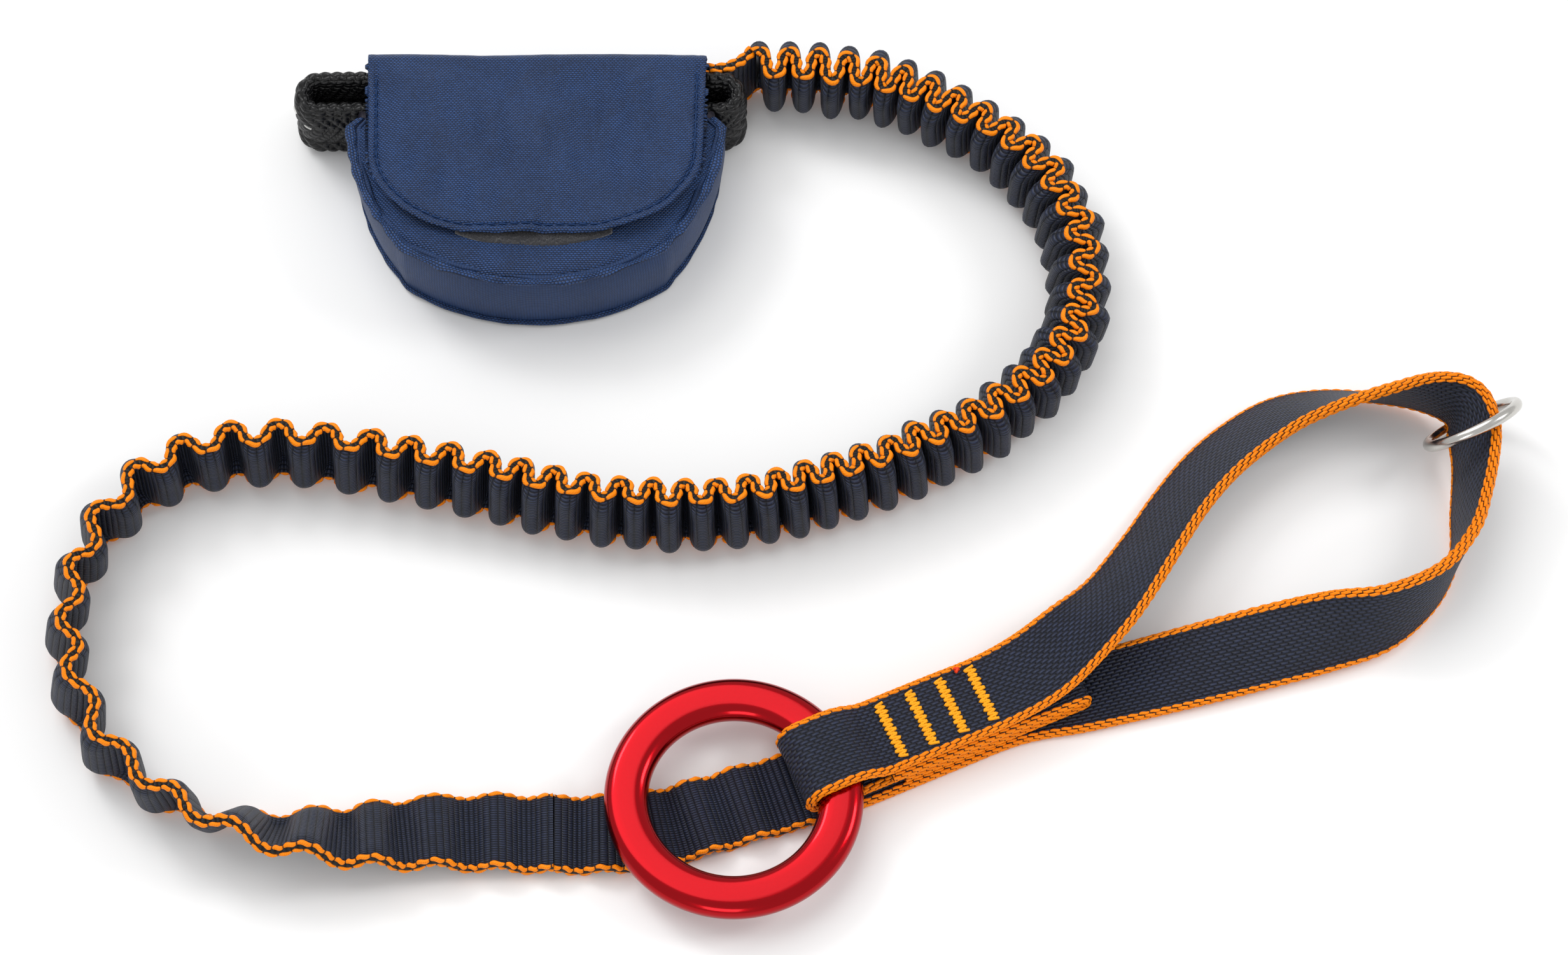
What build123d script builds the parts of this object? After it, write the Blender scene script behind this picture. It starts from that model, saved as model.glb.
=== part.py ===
"""Shock absorbing lanyard: absorber pouch, stretch webbing, anchor ring and sewn handle loop.

The lanyard lies on a flat surface at z = 0. The origin is the middle of the pouch's flat back,
+X runs towards the handle and +Y towards the pouch's hinged edge.
"""
from build123d import *
import os
from math import cos, hypot, pi, radians, sin, tan

# Pouch sizes, millimetres
pouch_width = 108.0
pouch_height = 71.0
pouch_top_half_width = 49.0
pouch_low_half_width = 38.0
pouch_low_y = -24.0
pouch_corner_radius = 16.0
pouch_depth = 26.0
fabric = 1.2
soft_gap = 0.3
binding_width = 2.4
port_low_y = 16.0

# Flap and its fastening
flap_half_width = 48.0
flap_low_y = -22.0
flap_corner_radius = 24.0
flap_hinge_z = 14.0
flap_hinge_gap = 0.7
lining = 0.5
lining_inset = 1.5
patch_pile = 0.6
patch_half_width = 22.0
loop_patch_low_y = -25.5
loop_patch_high_y = -7.0

# Absorber webbing inside the pouch and its two end loops
absorber_width = 22.0
absorber_thickness = 3.6
absorber_layers = 11
absorber_pitch = 4.2
absorber_half_length = 31.0
absorber_y = 26.0
loop_leg_offset = 4.4
harness_loop_reach = 67.0
lanyard_loop_reach = 59.5
loop_leg_inside = 36.0
stitch_block_length = 7.0
stitch_block_thickness = 0.6
pack_band_width = 16.0
pack_band_thickness = 0.6
label_size = (42.0, 24.0)
label_thickness = 0.4

# Lanyard webbing
webbing_width = 22.0
webbing_thickness = 2.8
elastic_radius = 11.0
core_radius = 3.0
core_clearance = 0.3
tab_start_x = 38.0
tab_y = 34.0

# Anchor ring
ring_centre = (56.5, -186.2)
ring_outer_radius = 35.0
ring_inner_radius = 23.0
ring_thickness = 7.0
ring_edge_radius = 3.2

# Sewn stack, measured along the strap from the ring's centre
stack_angle = 24.0
layer_gap = 0.3
hinge_reach = 40.2
base_end_reach = 77.0
tail_reach = 101.0
base_offset = -2.3
base_lead = 25.0
tail_offset = -1.2
tack_first = 46.4
tack_spacing = 9.0
tack_count = 4
tack_length = 17.0
tack_width = 2.6
tack_teeth = 11
thread = 0.6

# Tip ring on the handle
tip_ring_radius = 13.4
tip_ring_wire = 1.6
tip_ring_centre = (260.72, -75.68, 15.1)
tip_ring_normal = (-0.438, 0.747, 0.501)
tip_chord = 20.5
cupped_lean = 95

os.makedirs("parts", exist_ok=True)


def save(part, label):
    """Label a finished piece and write it to its own file."""
    part.label = label
    export_step(part, f"parts/{label}.step")


# Pouch outline: a straight hinged edge at the top, bulging sides and a shallow bowed bottom
half_width = pouch_width / 2
half_height = pouch_height / 2
side_widest_y = 14.0


def outline_grown(grow):
    """Outline of the pouch, moved out all round by grow, or in where grow is negative."""
    top_x, top_y = pouch_top_half_width + grow, half_height + grow
    low_x, low_y = pouch_low_half_width + grow, pouch_low_y - grow
    with BuildSketch() as pouch_outline:
        with BuildLine():
            Line((-top_x, top_y), (top_x, top_y))
            ThreePointArc((top_x, top_y), (half_width + grow, side_widest_y), (low_x, low_y))
            ThreePointArc((low_x, low_y), (0, -half_height - grow), (-low_x, low_y))
            ThreePointArc((-low_x, low_y), (-half_width - grow, side_widest_y), (-top_x, top_y))
        make_face()
        corners = pouch_outline.vertices().sort_by(Axis.Y)[:2]
        fillet(corners, radius=pouch_corner_radius + grow)
    return pouch_outline.sketch


outline = outline_grown(0)
inner_outline = outline_grown(-fabric)
outer_outline = outline_grown(fabric)
port_cut_y = port_low_y + pouch_height / 2

front_z = pouch_depth - fabric

with BuildPart() as pouch_back_panel:
    with BuildSketch():
        add(outline)
    extrude(amount=fabric)
save(pouch_back_panel.part, "pouch_back_panel")

with BuildPart() as pouch_front_panel:
    with BuildSketch(Plane.XY.offset(front_z)):
        add(outline)
    extrude(amount=fabric)
save(pouch_front_panel.part, "pouch_front_panel")

# The gusset is the wall round the sides and bottom; above port_low_y both sides are open ports
with BuildPart() as pouch_gusset:
    with BuildSketch(Plane.XY.offset(fabric)):
        add(outline)
        add(inner_outline, mode=Mode.SUBTRACT)
    extrude(amount=front_z - fabric)
    with Locations((0, port_cut_y, 0)):
        Box(2 * pouch_width, pouch_height, 3 * pouch_depth, mode=Mode.SUBTRACT)
save(pouch_gusset.part, "pouch_gusset")

# Seam bindings run round the gusset's two long edges, just outside it
binding_levels = {"back_seam_binding": soft_gap, "front_seam_binding": pouch_depth - binding_width}
for label, level in binding_levels.items():
    with BuildPart() as seam_binding:
        with BuildSketch(Plane.XY.offset(level)):
            add(outer_outline)
            add(outline, mode=Mode.SUBTRACT)
        extrude(amount=binding_width)
        with Locations((0, port_cut_y, 0)):
            Box(2 * pouch_width, pouch_height, 3 * pouch_depth, mode=Mode.SUBTRACT)
    save(seam_binding.part, label)

# Port bindings cap the gusset's two upper ends
for label, side in {"left_port_binding": -1, "right_port_binding": 1}.items():
    with BuildPart() as port_binding:
        with BuildSketch(Plane.XY.offset(fabric)):
            add(outline)
            add(inner_outline, mode=Mode.SUBTRACT)
        extrude(amount=front_z - fabric)
        with Locations((side * half_width, port_low_y + binding_width / 2, 0)):
            Box(half_width, binding_width, 3 * pouch_depth, mode=Mode.INTERSECT)
    save(port_binding.part, label)

# Rear wall: the lower half of the pouch's hinged side
hinge_y = half_height + fabric / 2
rear_wall_top = flap_hinge_z - fabric / 2 - flap_hinge_gap
with BuildPart() as pouch_rear_wall:
    with BuildSketch():
        with Locations((0, hinge_y)):
            Rectangle(2 * flap_half_width, fabric)
    extrude(amount=rear_wall_top)
save(pouch_rear_wall.part, "pouch_rear_wall")

# Flap: rises from the hinge line, folds over the top and covers the front panel
patch_z = pouch_depth
hook_z = patch_z + patch_pile + soft_gap
lining_z = hook_z + patch_pile
flap_z = lining_z + lining
with BuildSketch() as flap_outline:
    with Locations((0, (flap_low_y + hinge_y) / 2)):
        Rectangle(2 * flap_half_width, hinge_y - flap_low_y)
    fillet(flap_outline.vertices().group_by(Axis.Y)[0], radius=flap_corner_radius)
flap_shape = flap_outline.sketch

with BuildPart() as flap:
    with BuildSketch(Plane.XY.offset(flap_z)):
        add(flap_shape)
        with Locations((0, hinge_y)):
            Rectangle(2 * flap_half_width, fabric)
    extrude(amount=fabric)
    with BuildSketch(Plane.YZ.offset(-flap_half_width)):
        with Locations((hinge_y, (flap_hinge_z + flap_z) / 2)):
            Rectangle(fabric, flap_z - flap_hinge_z)
        with Locations((hinge_y, flap_hinge_z)):
            Circle(fabric / 2)
    extrude(amount=2 * flap_half_width)
save(flap.part, "flap")

with BuildPart() as flap_lining:
    with BuildSketch(Plane.XY.offset(lining_z)):
        offset(flap_shape, amount=-lining_inset)
    extrude(amount=lining)
save(flap_lining.part, "flap_lining")

patch_middle = (loop_patch_low_y + loop_patch_high_y) / 2
patch_height = loop_patch_high_y - loop_patch_low_y
with BuildPart() as loop_patch:
    with BuildSketch(Plane.XY.offset(patch_z)):
        with Locations((0, patch_middle)):
            RectangleRounded(2 * patch_half_width, patch_height, patch_height / 3)
    extrude(amount=patch_pile)
save(loop_patch.part, "loop_patch")

hook_low_y = flap_low_y + 2 * lining_inset
with BuildPart() as hook_patch:
    with BuildSketch(Plane.XY.offset(hook_z)):
        with Locations((0, (hook_low_y + loop_patch_high_y) / 2)):
            Rectangle(2 * patch_half_width, loop_patch_high_y - hook_low_y)
    extrude(amount=patch_pile)
save(hook_patch.part, "hook_patch")

# Absorber webbing stands on edge inside the pouch, folded back and forth in a pack
absorber_z = fabric + (front_z - fabric - absorber_width) / 2
layer_y = [absorber_y - i * absorber_pitch for i in range(absorber_layers)]
turn = absorber_pitch / 2
with BuildPart() as tear_webbing:
    with BuildSketch(Plane.XY.offset(absorber_z)):
        for i, y in enumerate(layer_y):
            side = 1 if i % 2 == 0 else -1
            with Locations((0, y)):
                Rectangle(2 * absorber_half_length, absorber_thickness)
            if i < absorber_layers - 1:
                with BuildLine():
                    CenterArc(
                        (side * absorber_half_length, y - turn),
                        turn + absorber_thickness / 2,
                        90,
                        -180 * side,
                    )
                    Line(
                        (side * absorber_half_length, y + absorber_thickness / 2),
                        (side * absorber_half_length, y - 2 * turn - absorber_thickness / 2),
                    )
                make_face()
        for i, y in enumerate(layer_y[:-1]):
            with Locations((0, y - turn)):
                Rectangle(
                    2 * absorber_half_length,
                    absorber_pitch - absorber_thickness,
                    mode=Mode.SUBTRACT,
                )
    extrude(amount=absorber_width)
save(tear_webbing.part, "tear_webbing")


def end_loop(reach, side):
    """Sketch of a webbing end loop: two legs joined by a half round beyond the port."""
    bend_x = reach - loop_leg_offset - absorber_thickness / 2
    with BuildSketch(Plane.XY.offset(absorber_z)) as shape:
        with BuildLine() as path:
            Polyline(
                (side * loop_leg_inside, absorber_y + loop_leg_offset),
                (side * bend_x, absorber_y + loop_leg_offset),
            )
            CenterArc((side * bend_x, absorber_y), loop_leg_offset, 90, -180 * side)
            Polyline(
                (side * bend_x, absorber_y - loop_leg_offset),
                (side * loop_leg_inside, absorber_y - loop_leg_offset),
            )
        trace(path.line, line_width=absorber_thickness)
    return shape.sketch


for label, reach, side in [
    ("harness_loop", harness_loop_reach, -1),
    ("lanyard_loop", lanyard_loop_reach, 1),
]:
    loop_shape = end_loop(reach, side)
    with BuildPart() as webbing_loop:
        add(loop_shape)
        extrude(amount=absorber_width)
    save(webbing_loop.part, label)

# Load stitching joins each loop's legs and the first absorber layer
leg_face = loop_leg_offset + absorber_thickness / 2
for label, side in {"harness_loop_stitching": -1, "lanyard_loop_stitching": 1}.items():
    with BuildPart() as stitching:
        with BuildSketch(Plane.XY.offset(absorber_z + thread)):
            with Locations(
                (
                    side * (loop_leg_inside + stitch_block_length),
                    absorber_y - leg_face - stitch_block_thickness / 2,
                )
            ):
                Rectangle(stitch_block_length, stitch_block_thickness)
        extrude(amount=absorber_width - 2 * thread)
    save(stitching.part, label)

# A cloth band holds the pack folded
pack_low_y = layer_y[-1] - absorber_thickness / 2
pack_high_y = absorber_y + absorber_thickness / 2
with BuildPart() as pack_band:
    with BuildSketch(Plane.YZ.offset(-pack_band_width / 2)):
        with Locations(((pack_low_y + pack_high_y) / 2, absorber_z + absorber_width / 2)):
            band_inner = (pack_high_y - pack_low_y + 0.1, absorber_width + 0.1)
            Rectangle(
                band_inner[0] + 2 * pack_band_thickness, band_inner[1] + 2 * pack_band_thickness
            )
            Rectangle(*band_inner, mode=Mode.SUBTRACT)
    extrude(amount=pack_band_width)
save(pack_band.part, "pack_band")

# Blank inspection label, tucked in front of the pack and standing on edge
label_y = pack_low_y - pack_band_thickness - label_thickness
with BuildPart() as inspection_label:
    with BuildSketch(Plane.XZ.offset(-label_y)):
        with Locations((0, pouch_depth / 2)):
            RectangleRounded(label_size[0], label_size[1] - 2 * fabric - 1, 1.5)
    extrude(amount=label_thickness)
save(inspection_label.part, "inspection_label")

# Stretch webbing: one long limp tube of gathered webbing round a rubber core
elastic_z = elastic_radius
elastic_route = [
    (62.0, 36.5),
    (80.0, 36.5),
    (101.0, 33.5),
    (122.0, 23.0),
    (139.0, 8.0),
    (149.5, -10.0),
    (152.0, -29.0),
    (148.0, -48.0),
    (137.5, -63.0),
    (120.5, -76.0),
    (99.5, -87.5),
    (75.5, -96.0),
    (49.5, -101.5),
    (21.5, -101.0),
    (-8.0, -94.5),
    (-38.5, -87.5),
    (-68.5, -82.5),
    (-92.5, -85.5),
    (-110.0, -96.5),
    (-122.0, -113.5),
    (-127.5, -134.0),
    (-125.5, -154.5),
    (-114.5, -174.0),
    (-96.5, -188.5),
    (-72.5, -197.0),
    (-46.0, -198.0),
    (-19.0, -194.5),
    (8.0, -194.0),
]


def bend_radii(points):
    """Largest tangent radius at each corner: 0.45 of the shorter run over tan of half the turn."""
    radii = []
    for before, corner, after in zip(points, points[1:], points[2:]):
        run_in = (corner[0] - before[0], corner[1] - before[1])
        run_out = (after[0] - corner[0], after[1] - corner[1])
        turn_angle = abs(Vector(*run_in, 0).get_angle(Vector(*run_out, 0)))
        shorter = min(hypot(*run_in), hypot(*run_out))
        radii.append(0.45 * shorter / tan(radians(turn_angle) / 2))
    return radii


elastic_radii = bend_radii(elastic_route)
print("stretch webbing bend radii:", [round(r) for r in elastic_radii])
with BuildLine(Plane.XY.offset(elastic_z)) as elastic_path:
    FilletPolyline(*elastic_route, radius=elastic_radii)
start_direction = Vector(
    elastic_route[1][0] - elastic_route[0][0], elastic_route[1][1] - elastic_route[0][1], 0
)
elastic_start = Plane(origin=(*elastic_route[0], elastic_z), z_dir=start_direction)

with BuildPart() as elastic_webbing:
    with BuildSketch(elastic_start):
        Circle(elastic_radius)
        Circle(core_radius + core_clearance, mode=Mode.SUBTRACT)
    sweep(path=elastic_path.line)
save(elastic_webbing.part, "elastic_webbing")

with BuildPart() as elastic_core:
    with BuildSketch(elastic_start):
        Circle(core_radius)
    sweep(path=elastic_path.line)
save(elastic_core.part, "elastic_core")

elastic_length = elastic_path.wires()[0].length
elastic_section = pi * (elastic_radius**2 - (core_radius + core_clearance) ** 2)
volume_ratio = elastic_webbing.part.volume / (elastic_section * elastic_length)
print("stretch webbing length:", round(elastic_length, 1), "volume ratio:", round(volume_ratio, 4))

# The flat end of the stretch webbing enters the pouch beside the lanyard loop
with BuildPart() as webbing_end_tab:
    with BuildSketch(Plane.XY.offset(absorber_z)):
        with Locations(((tab_start_x + elastic_route[0][0]) / 2, tab_y)):
            Rectangle(elastic_route[0][0] - tab_start_x, webbing_thickness)
    extrude(amount=webbing_width)
save(webbing_end_tab.part, "webbing_end_tab")

# The strap's own directions at the sewn stack: s along it, p across it
stack_direction = (cos(radians(stack_angle)), sin(radians(stack_angle)), 0)
across = (-stack_direction[1], stack_direction[0])
stack_plane = Plane(origin=(*ring_centre, 0), x_dir=stack_direction, z_dir=(0, 0, 1))
side_plane = Plane(
    origin=(*ring_centre, 0), x_dir=stack_direction, z_dir=(stack_direction[1], -stack_direction[0], 0)
)
layer_pitch = webbing_thickness + layer_gap
layer_z = [i * layer_pitch for i in range(4)]
half_thick = webbing_thickness / 2


def on_stack(reach, offset_across):
    """Plan position of a point at a reach along the strap and an offset across it."""
    return (
        ring_centre[0] + reach * stack_direction[0] + offset_across * across[0],
        ring_centre[1] + reach * stack_direction[1] + offset_across * across[1],
    )


# Base strap: leaves the stretch webbing, passes under the ring and is the stack's lowest layer
base_end = on_stack(base_end_reach, base_offset)
elastic_end = Vector(*elastic_route[-1])
last_run = (elastic_end - Vector(*elastic_route[-2])).normalized()
base_turn = elastic_end + last_run * base_lead
base_route = [
    elastic_route[-1],
    (base_turn.X, base_turn.Y),
    on_stack(26.0, base_offset),
    base_end,
]
with BuildPart() as base_strap:
    with BuildSketch():
        with BuildLine() as base_path:
            FilletPolyline(*base_route, radius=60)
        trace(base_path.line, line_width=webbing_width)
    extrude(amount=webbing_thickness)
save(base_strap.part, "base_strap")

# Anchor ring: flat faced aluminium with well rounded edges
ring_z = layer_z[1] + webbing_thickness + layer_gap
ring_mid_z = ring_z + ring_thickness / 2
with BuildPart() as anchor_ring:
    with BuildSketch(Plane(origin=(*ring_centre, ring_mid_z), x_dir=(1, 0, 0), z_dir=(0, -1, 0))):
        with Locations(((ring_outer_radius + ring_inner_radius) / 2, 0)):
            RectangleRounded(
                ring_outer_radius - ring_inner_radius, ring_thickness, ring_edge_radius
            )
    revolve(axis=Axis((*ring_centre, 0), (0, 0, 1)))
save(anchor_ring.part, "anchor_ring")

# Ring wrap: the webbing fold that holds the ring; its rounded root turns at the first stitch row
top_mid_z = layer_z[3] + half_thick
return_mid_z = layer_z[1] + half_thick
over_ring_z = ring_z + ring_thickness + layer_gap + half_thick
fold_radius = (over_ring_z - return_mid_z) / 2
ring_edge_reach = (ring_inner_radius**2 - (webbing_width / 2) ** 2) ** 0.5
fold_centre = ring_edge_reach - layer_gap + fold_radius - half_thick
hinge_z = (layer_z[1] + layer_z[3] + webbing_thickness) / 2
hinge_radius = (layer_z[3] + webbing_thickness - layer_z[1]) / 2
crest_reach = ring_outer_radius - half_thick
with BuildPart() as ring_wrap:
    with BuildSketch(side_plane):
        with BuildLine() as wrap_path:
            Polyline(
                (hinge_reach, top_mid_z),
                (crest_reach, over_ring_z),
                (fold_centre, over_ring_z),
            )
            CenterArc((fold_centre, (over_ring_z + return_mid_z) / 2), fold_radius, 90, 180)
            Line((fold_centre, return_mid_z), (hinge_reach, return_mid_z))
        trace(wrap_path.line, line_width=webbing_thickness)
        with Locations((hinge_reach, hinge_z)):
            Circle(hinge_radius)
    extrude(amount=webbing_width / 2, both=True)
save(ring_wrap.part, "ring_wrap")

# Folded tail: the wrap's return layer runs on, folds back on itself and ends beside the ring
stack_start = hinge_reach + hinge_radius + soft_gap
tail_side = Plane(
    origin=(*on_stack(0, tail_offset), 0), x_dir=stack_direction, z_dir=side_plane.z_dir
)
tail_bend = tail_reach - layer_pitch / 2 - half_thick
with BuildPart() as folded_tail:
    with BuildSketch(tail_side):
        with BuildLine() as tail_path:
            Line((stack_start, layer_z[1] + half_thick), (tail_bend, layer_z[1] + half_thick))
            CenterArc((tail_bend, layer_z[1] + half_thick + layer_pitch / 2), layer_pitch / 2, -90, 180)
            Line((tail_bend, layer_z[2] + half_thick), (stack_start, layer_z[2] + half_thick))
        trace(tail_path.line, line_width=webbing_thickness)
    extrude(amount=webbing_width / 2, both=True)
save(folded_tail.part, "folded_tail")

# Handle strap: centre x, y, z, heading and lean of the webbing's width from flat, in degrees
handle_stations = [
    (*base_end, half_thick, stack_angle, 0),
    (148.5, -152.4, half_thick, 14, 0),
    (156.0, -150.5, half_thick, 14, 0),
    (168.0, -147.7, 2.8, 14, 7),
    (187.4, -143.1, 4.8, 15, 17),
    (204.3, -139.1, 6.6, 16, 28),
    (219.2, -136.0, 8.8, 19, 42),
    (235.2, -132.6, 11.2, 32, 66),
    (249.0, -123.3, 11.6, 53, 88),
    (257.0, -110.5, 11.6, 72, 101),
    (259.6, -98.2, 12.2, 84, 111),
    (261.4, -86.2, 14.0, 90, 116),
    (261.2, -78.0, 15.4, 101, 118),
    (259.4, -72.0, 16.0, 124, 112),
    (254.6, -68.0, 15.4, 152, 97),
    (245.0, -65.3, 13.2, 172, 80),
    (232.3, -65.0, 11.4, 189, 64),
    (219.5, -66.4, 10.0, 201, 50),
    (208.0, -70.0, 9.0, 213, 41),
    (197.3, -77.2, 8.6, 226, 38),
    (187.9, -86.0, 8.6, 233, 38),
    (179.4, -97.0, 8.8, 238, 39),
    (171.2, -110.0, 9.4, 239, 37),
    (160.6, -126.2, 10.8, 231, 28),
    (150.0, -138.0, 12.4, 220, 12),
    (139.2, -147.6, 11.4, 208, 0),
    (*on_stack(base_end_reach, 0), top_mid_z, 180 + stack_angle, 0),
    (*on_stack(stack_start, 0), top_mid_z, 180 + stack_angle, 0),
]


def strap_plane(x, y, z, heading, lean):
    """Section plane of the strap, its x direction along the webbing's width."""
    along = radians(heading)
    tilt = radians(lean)
    width_direction = (-sin(along) * cos(tilt), cos(along) * cos(tilt), sin(tilt))
    return Plane(origin=(x, y, z), x_dir=width_direction, z_dir=(cos(along), sin(along), 0))


with BuildPart() as handle_strap:
    for station in handle_stations:
        cupped = station[-1] > cupped_lean
        with BuildSketch(strap_plane(*station)):
            Rectangle(tip_chord if cupped else webbing_width, webbing_thickness)
    loft(ruled=True)
save(handle_strap.part, "handle_strap")

# Zigzag bar tacks across the top of the stack
tack_z = layer_z[3] + webbing_thickness
tooth = tack_length / tack_teeth
zigzag = [
    ((-1) ** i * (tack_width - thread) / 2, -tack_length / 2 + i * tooth) for i in range(tack_teeth + 1)
]
with BuildPart() as handle_bartacks:
    with BuildSketch(stack_plane.offset(tack_z)):
        for i in range(tack_count):
            with BuildLine() as tack_line:
                Polyline(*[(tack_first + i * tack_spacing + dx, dy) for dx, dy in zigzag])
            trace(tack_line.line, line_width=thread)
    extrude(amount=thread)
save(handle_bartacks.part, "handle_bartacks")

# Tip ring: round steel wire, free on the handle strap
tip_plane = Plane(origin=tip_ring_centre, z_dir=tip_ring_normal)
tip_section = Plane(origin=tip_plane.origin, x_dir=tip_plane.x_dir, z_dir=tip_plane.y_dir)
with BuildPart() as tip_ring:
    with BuildSketch(tip_section):
        with Locations((tip_ring_radius, 0)):
            Circle(tip_ring_wire)
    revolve(axis=Axis(tip_ring_centre, tip_ring_normal))
save(tip_ring.part, "tip_ring")

print("ring wrap hinge:", on_stack(hinge_reach, 0), hinge_z)
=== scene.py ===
"""Blender looks of the shock absorbing lanyard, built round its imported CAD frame.

Run as a script. Every piece is a surface worked out on a numpy grid, in metres, in the CAD frame.
"""
from math import cos, hypot, pi, radians, sin

import bpy
import numpy as np
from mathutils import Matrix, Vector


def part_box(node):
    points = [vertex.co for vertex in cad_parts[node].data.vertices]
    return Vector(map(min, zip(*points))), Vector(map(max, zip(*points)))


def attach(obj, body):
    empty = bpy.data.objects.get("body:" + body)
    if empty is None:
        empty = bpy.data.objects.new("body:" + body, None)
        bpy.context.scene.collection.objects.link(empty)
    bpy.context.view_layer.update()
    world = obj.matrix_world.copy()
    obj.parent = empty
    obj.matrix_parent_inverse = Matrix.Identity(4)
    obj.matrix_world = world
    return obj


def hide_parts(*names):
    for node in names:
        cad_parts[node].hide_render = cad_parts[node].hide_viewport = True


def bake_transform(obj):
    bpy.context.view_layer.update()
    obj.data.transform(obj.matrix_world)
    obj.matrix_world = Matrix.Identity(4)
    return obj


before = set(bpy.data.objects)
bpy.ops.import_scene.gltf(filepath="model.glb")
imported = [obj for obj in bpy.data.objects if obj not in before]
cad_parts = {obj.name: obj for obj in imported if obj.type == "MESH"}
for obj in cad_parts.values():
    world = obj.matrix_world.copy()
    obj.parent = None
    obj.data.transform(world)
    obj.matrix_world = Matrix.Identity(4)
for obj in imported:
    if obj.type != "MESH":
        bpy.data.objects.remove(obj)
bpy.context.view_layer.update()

bl_info = {
    "name": "Shock absorbing lanyard",
    "version": (1, 0, 0),
    "blender": (4, 5, 0),
    "location": "3D View > Sidebar > Lanyard",
    "description": "Pleated stretch lanyard with absorber pouch, anchor ring and handle loop",
    "category": "Add Mesh",
}

MM = 0.001
FLOAT = 4 * MM  # length of one yarn float on the selvages' own map
UP = np.array([0, 0, 1.0])


def linear(hex_text):
    """Turns an sRGB hex colour to linear RGBA: c/12.92 when dark, else ((c+0.055)/1.055)^2.4."""
    channels = [int(hex_text[i : i + 2], 16) / 255 for i in (1, 3, 5)]
    return (*[c / 12.92 if c <= 0.04045 else ((c + 0.055) / 1.055) ** 2.4 for c in channels], 1.0)


def colour_property(label, text, hex_text):
    """A named colour that a user can change."""
    return bpy.props.FloatVectorProperty(
        name=label, description=text, subtype="COLOR", size=4, min=0, max=1, default=linear(hex_text)
    )


def length_property(label, text, metres):
    """A named length that a user can change."""
    return bpy.props.FloatProperty(name=label, description=text, unit="LENGTH", default=metres)


class LanyardSizes(bpy.types.PropertyGroup):
    """Sizes of the lanyard's pieces."""

    webbing_width: length_property("Webbing width", "Width of the lanyard webbing", 0.022)
    webbing_thickness: length_property("Webbing thickness", "Thickness of the webbing", 0.0028)
    loop_thickness: length_property("Loop thickness", "Thickness of the absorber webbing", 0.0044)
    ring_outer: length_property("Ring radius", "Outer radius of the anchor ring", 0.035)
    ring_inner: length_property("Ring opening", "Inner radius of the anchor ring", 0.023)
    ring_height: length_property("Ring height", "Thickness of the anchor ring", 0.007)
    tip_ring: length_property("Tip ring radius", "Wire centre radius of the tip ring", 0.0134)
    tip_wire: length_property("Tip ring wire", "Wire radius of the tip ring", 0.0016)
    thread: length_property("Thread radius", "Radius of the bar tack thread", 0.00034)


class LanyardColours(bpy.types.PropertyGroup):
    """Colours of the lanyard's materials."""

    navy: colour_property("Navy yarn", "Ground of the lanyard webbing", "#1D2438")
    orange: colour_property("Orange yarn", "Selvage cords of the webbing", "#FF8200")
    tack: colour_property("Tack thread", "Bar tack thread", "#FFA014")
    black: colour_property("Black yarn", "Absorber webbing and selvage gaps", "#0E0E10")
    nylon: colour_property("Blue nylon", "Pouch cloth", "#1C3864")
    red: colour_property("Red anodising", "Anchor ring", "#A8000E")
    steel: colour_property("Steel", "Tip ring", "#C9C7C2")
    floor: colour_property("Floor", "Studio floor", "#F4F4F4")


# ---------------------------------------------------------------- grids and meshes


def unit(vectors):
    """Each row divided by its own length."""
    return vectors / np.maximum(np.linalg.norm(vectors, axis=-1, keepdims=True), 1e-12)


def arc_length(points):
    """Running length along a row of points, from zero."""
    steps = np.linalg.norm(np.diff(points, axis=0), axis=1)
    return np.concatenate([[0.0], np.cumsum(steps)])


def along(points, at):
    """Points, or any rows of values, read off at running lengths along the points' own line."""
    at = np.asarray(at)
    length = arc_length(points)
    return np.stack([np.interp(at, length, points[:, k]) for k in range(points.shape[1])], axis=1)


def smooth_rows(rows, count):
    """Catmull-Rom curve through rows of values: each span is the cubic whose end slopes are half the
    difference of its neighbours; count samples are spread evenly over the row numbers."""
    rows = np.asarray(rows, float)
    padded = np.vstack([2 * rows[0] - rows[1], rows, 2 * rows[-1] - rows[-2]])
    t = np.linspace(0, len(rows) - 1, count)
    k = np.minimum(t.astype(int), len(rows) - 2)
    f = (t - k)[:, None]
    a, b, c, d = padded[k], padded[k + 1], padded[k + 2], padded[k + 3]
    return b + 0.5 * f * (c - a + f * (2 * a - 5 * b + 4 * c - d + f * (3 * (b - c) + d - a)))


def tangents(points):
    """Unit directions along a row of points, from central differences."""
    return unit(np.gradient(points, axis=0))


def grid(points, uv, material=0, round_u=False, round_v=False, caps=False):
    """A grid of points (m, n, 3) with its UV (m, n, 2), and how it closes on itself."""
    return {
        "points": np.asarray(points, float),
        "uv": np.broadcast_to(uv, (*np.shape(points)[:2], 2)),
        "material": material,
        "round_u": round_u,
        "round_v": round_v,
        "caps": caps,
    }


def grid_faces(m, n, round_u, round_v):
    """Corner numbers of the quads between neighbours of an m by n grid."""
    i = np.arange(m if round_u else m - 1)
    j = np.arange(n if round_v else n - 1)
    i, j = np.meshgrid(i, j, indexing="ij")
    i1, j1 = (i + 1) % m, (j + 1) % n
    return np.stack([i * n + j, i1 * n + j, i1 * n + j1, i * n + j1], axis=-1).reshape(-1, 4)


def signed_volume(points, faces):
    """Volume inside quads by the divergence rule: positive when they face outwards."""
    p = points[faces]
    first = np.einsum("ij,ij->i", p[:, 0], np.cross(p[:, 1], p[:, 2])).sum()
    second = np.einsum("ij,ij->i", p[:, 0], np.cross(p[:, 2], p[:, 3])).sum()
    return (first + second) / 6


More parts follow.
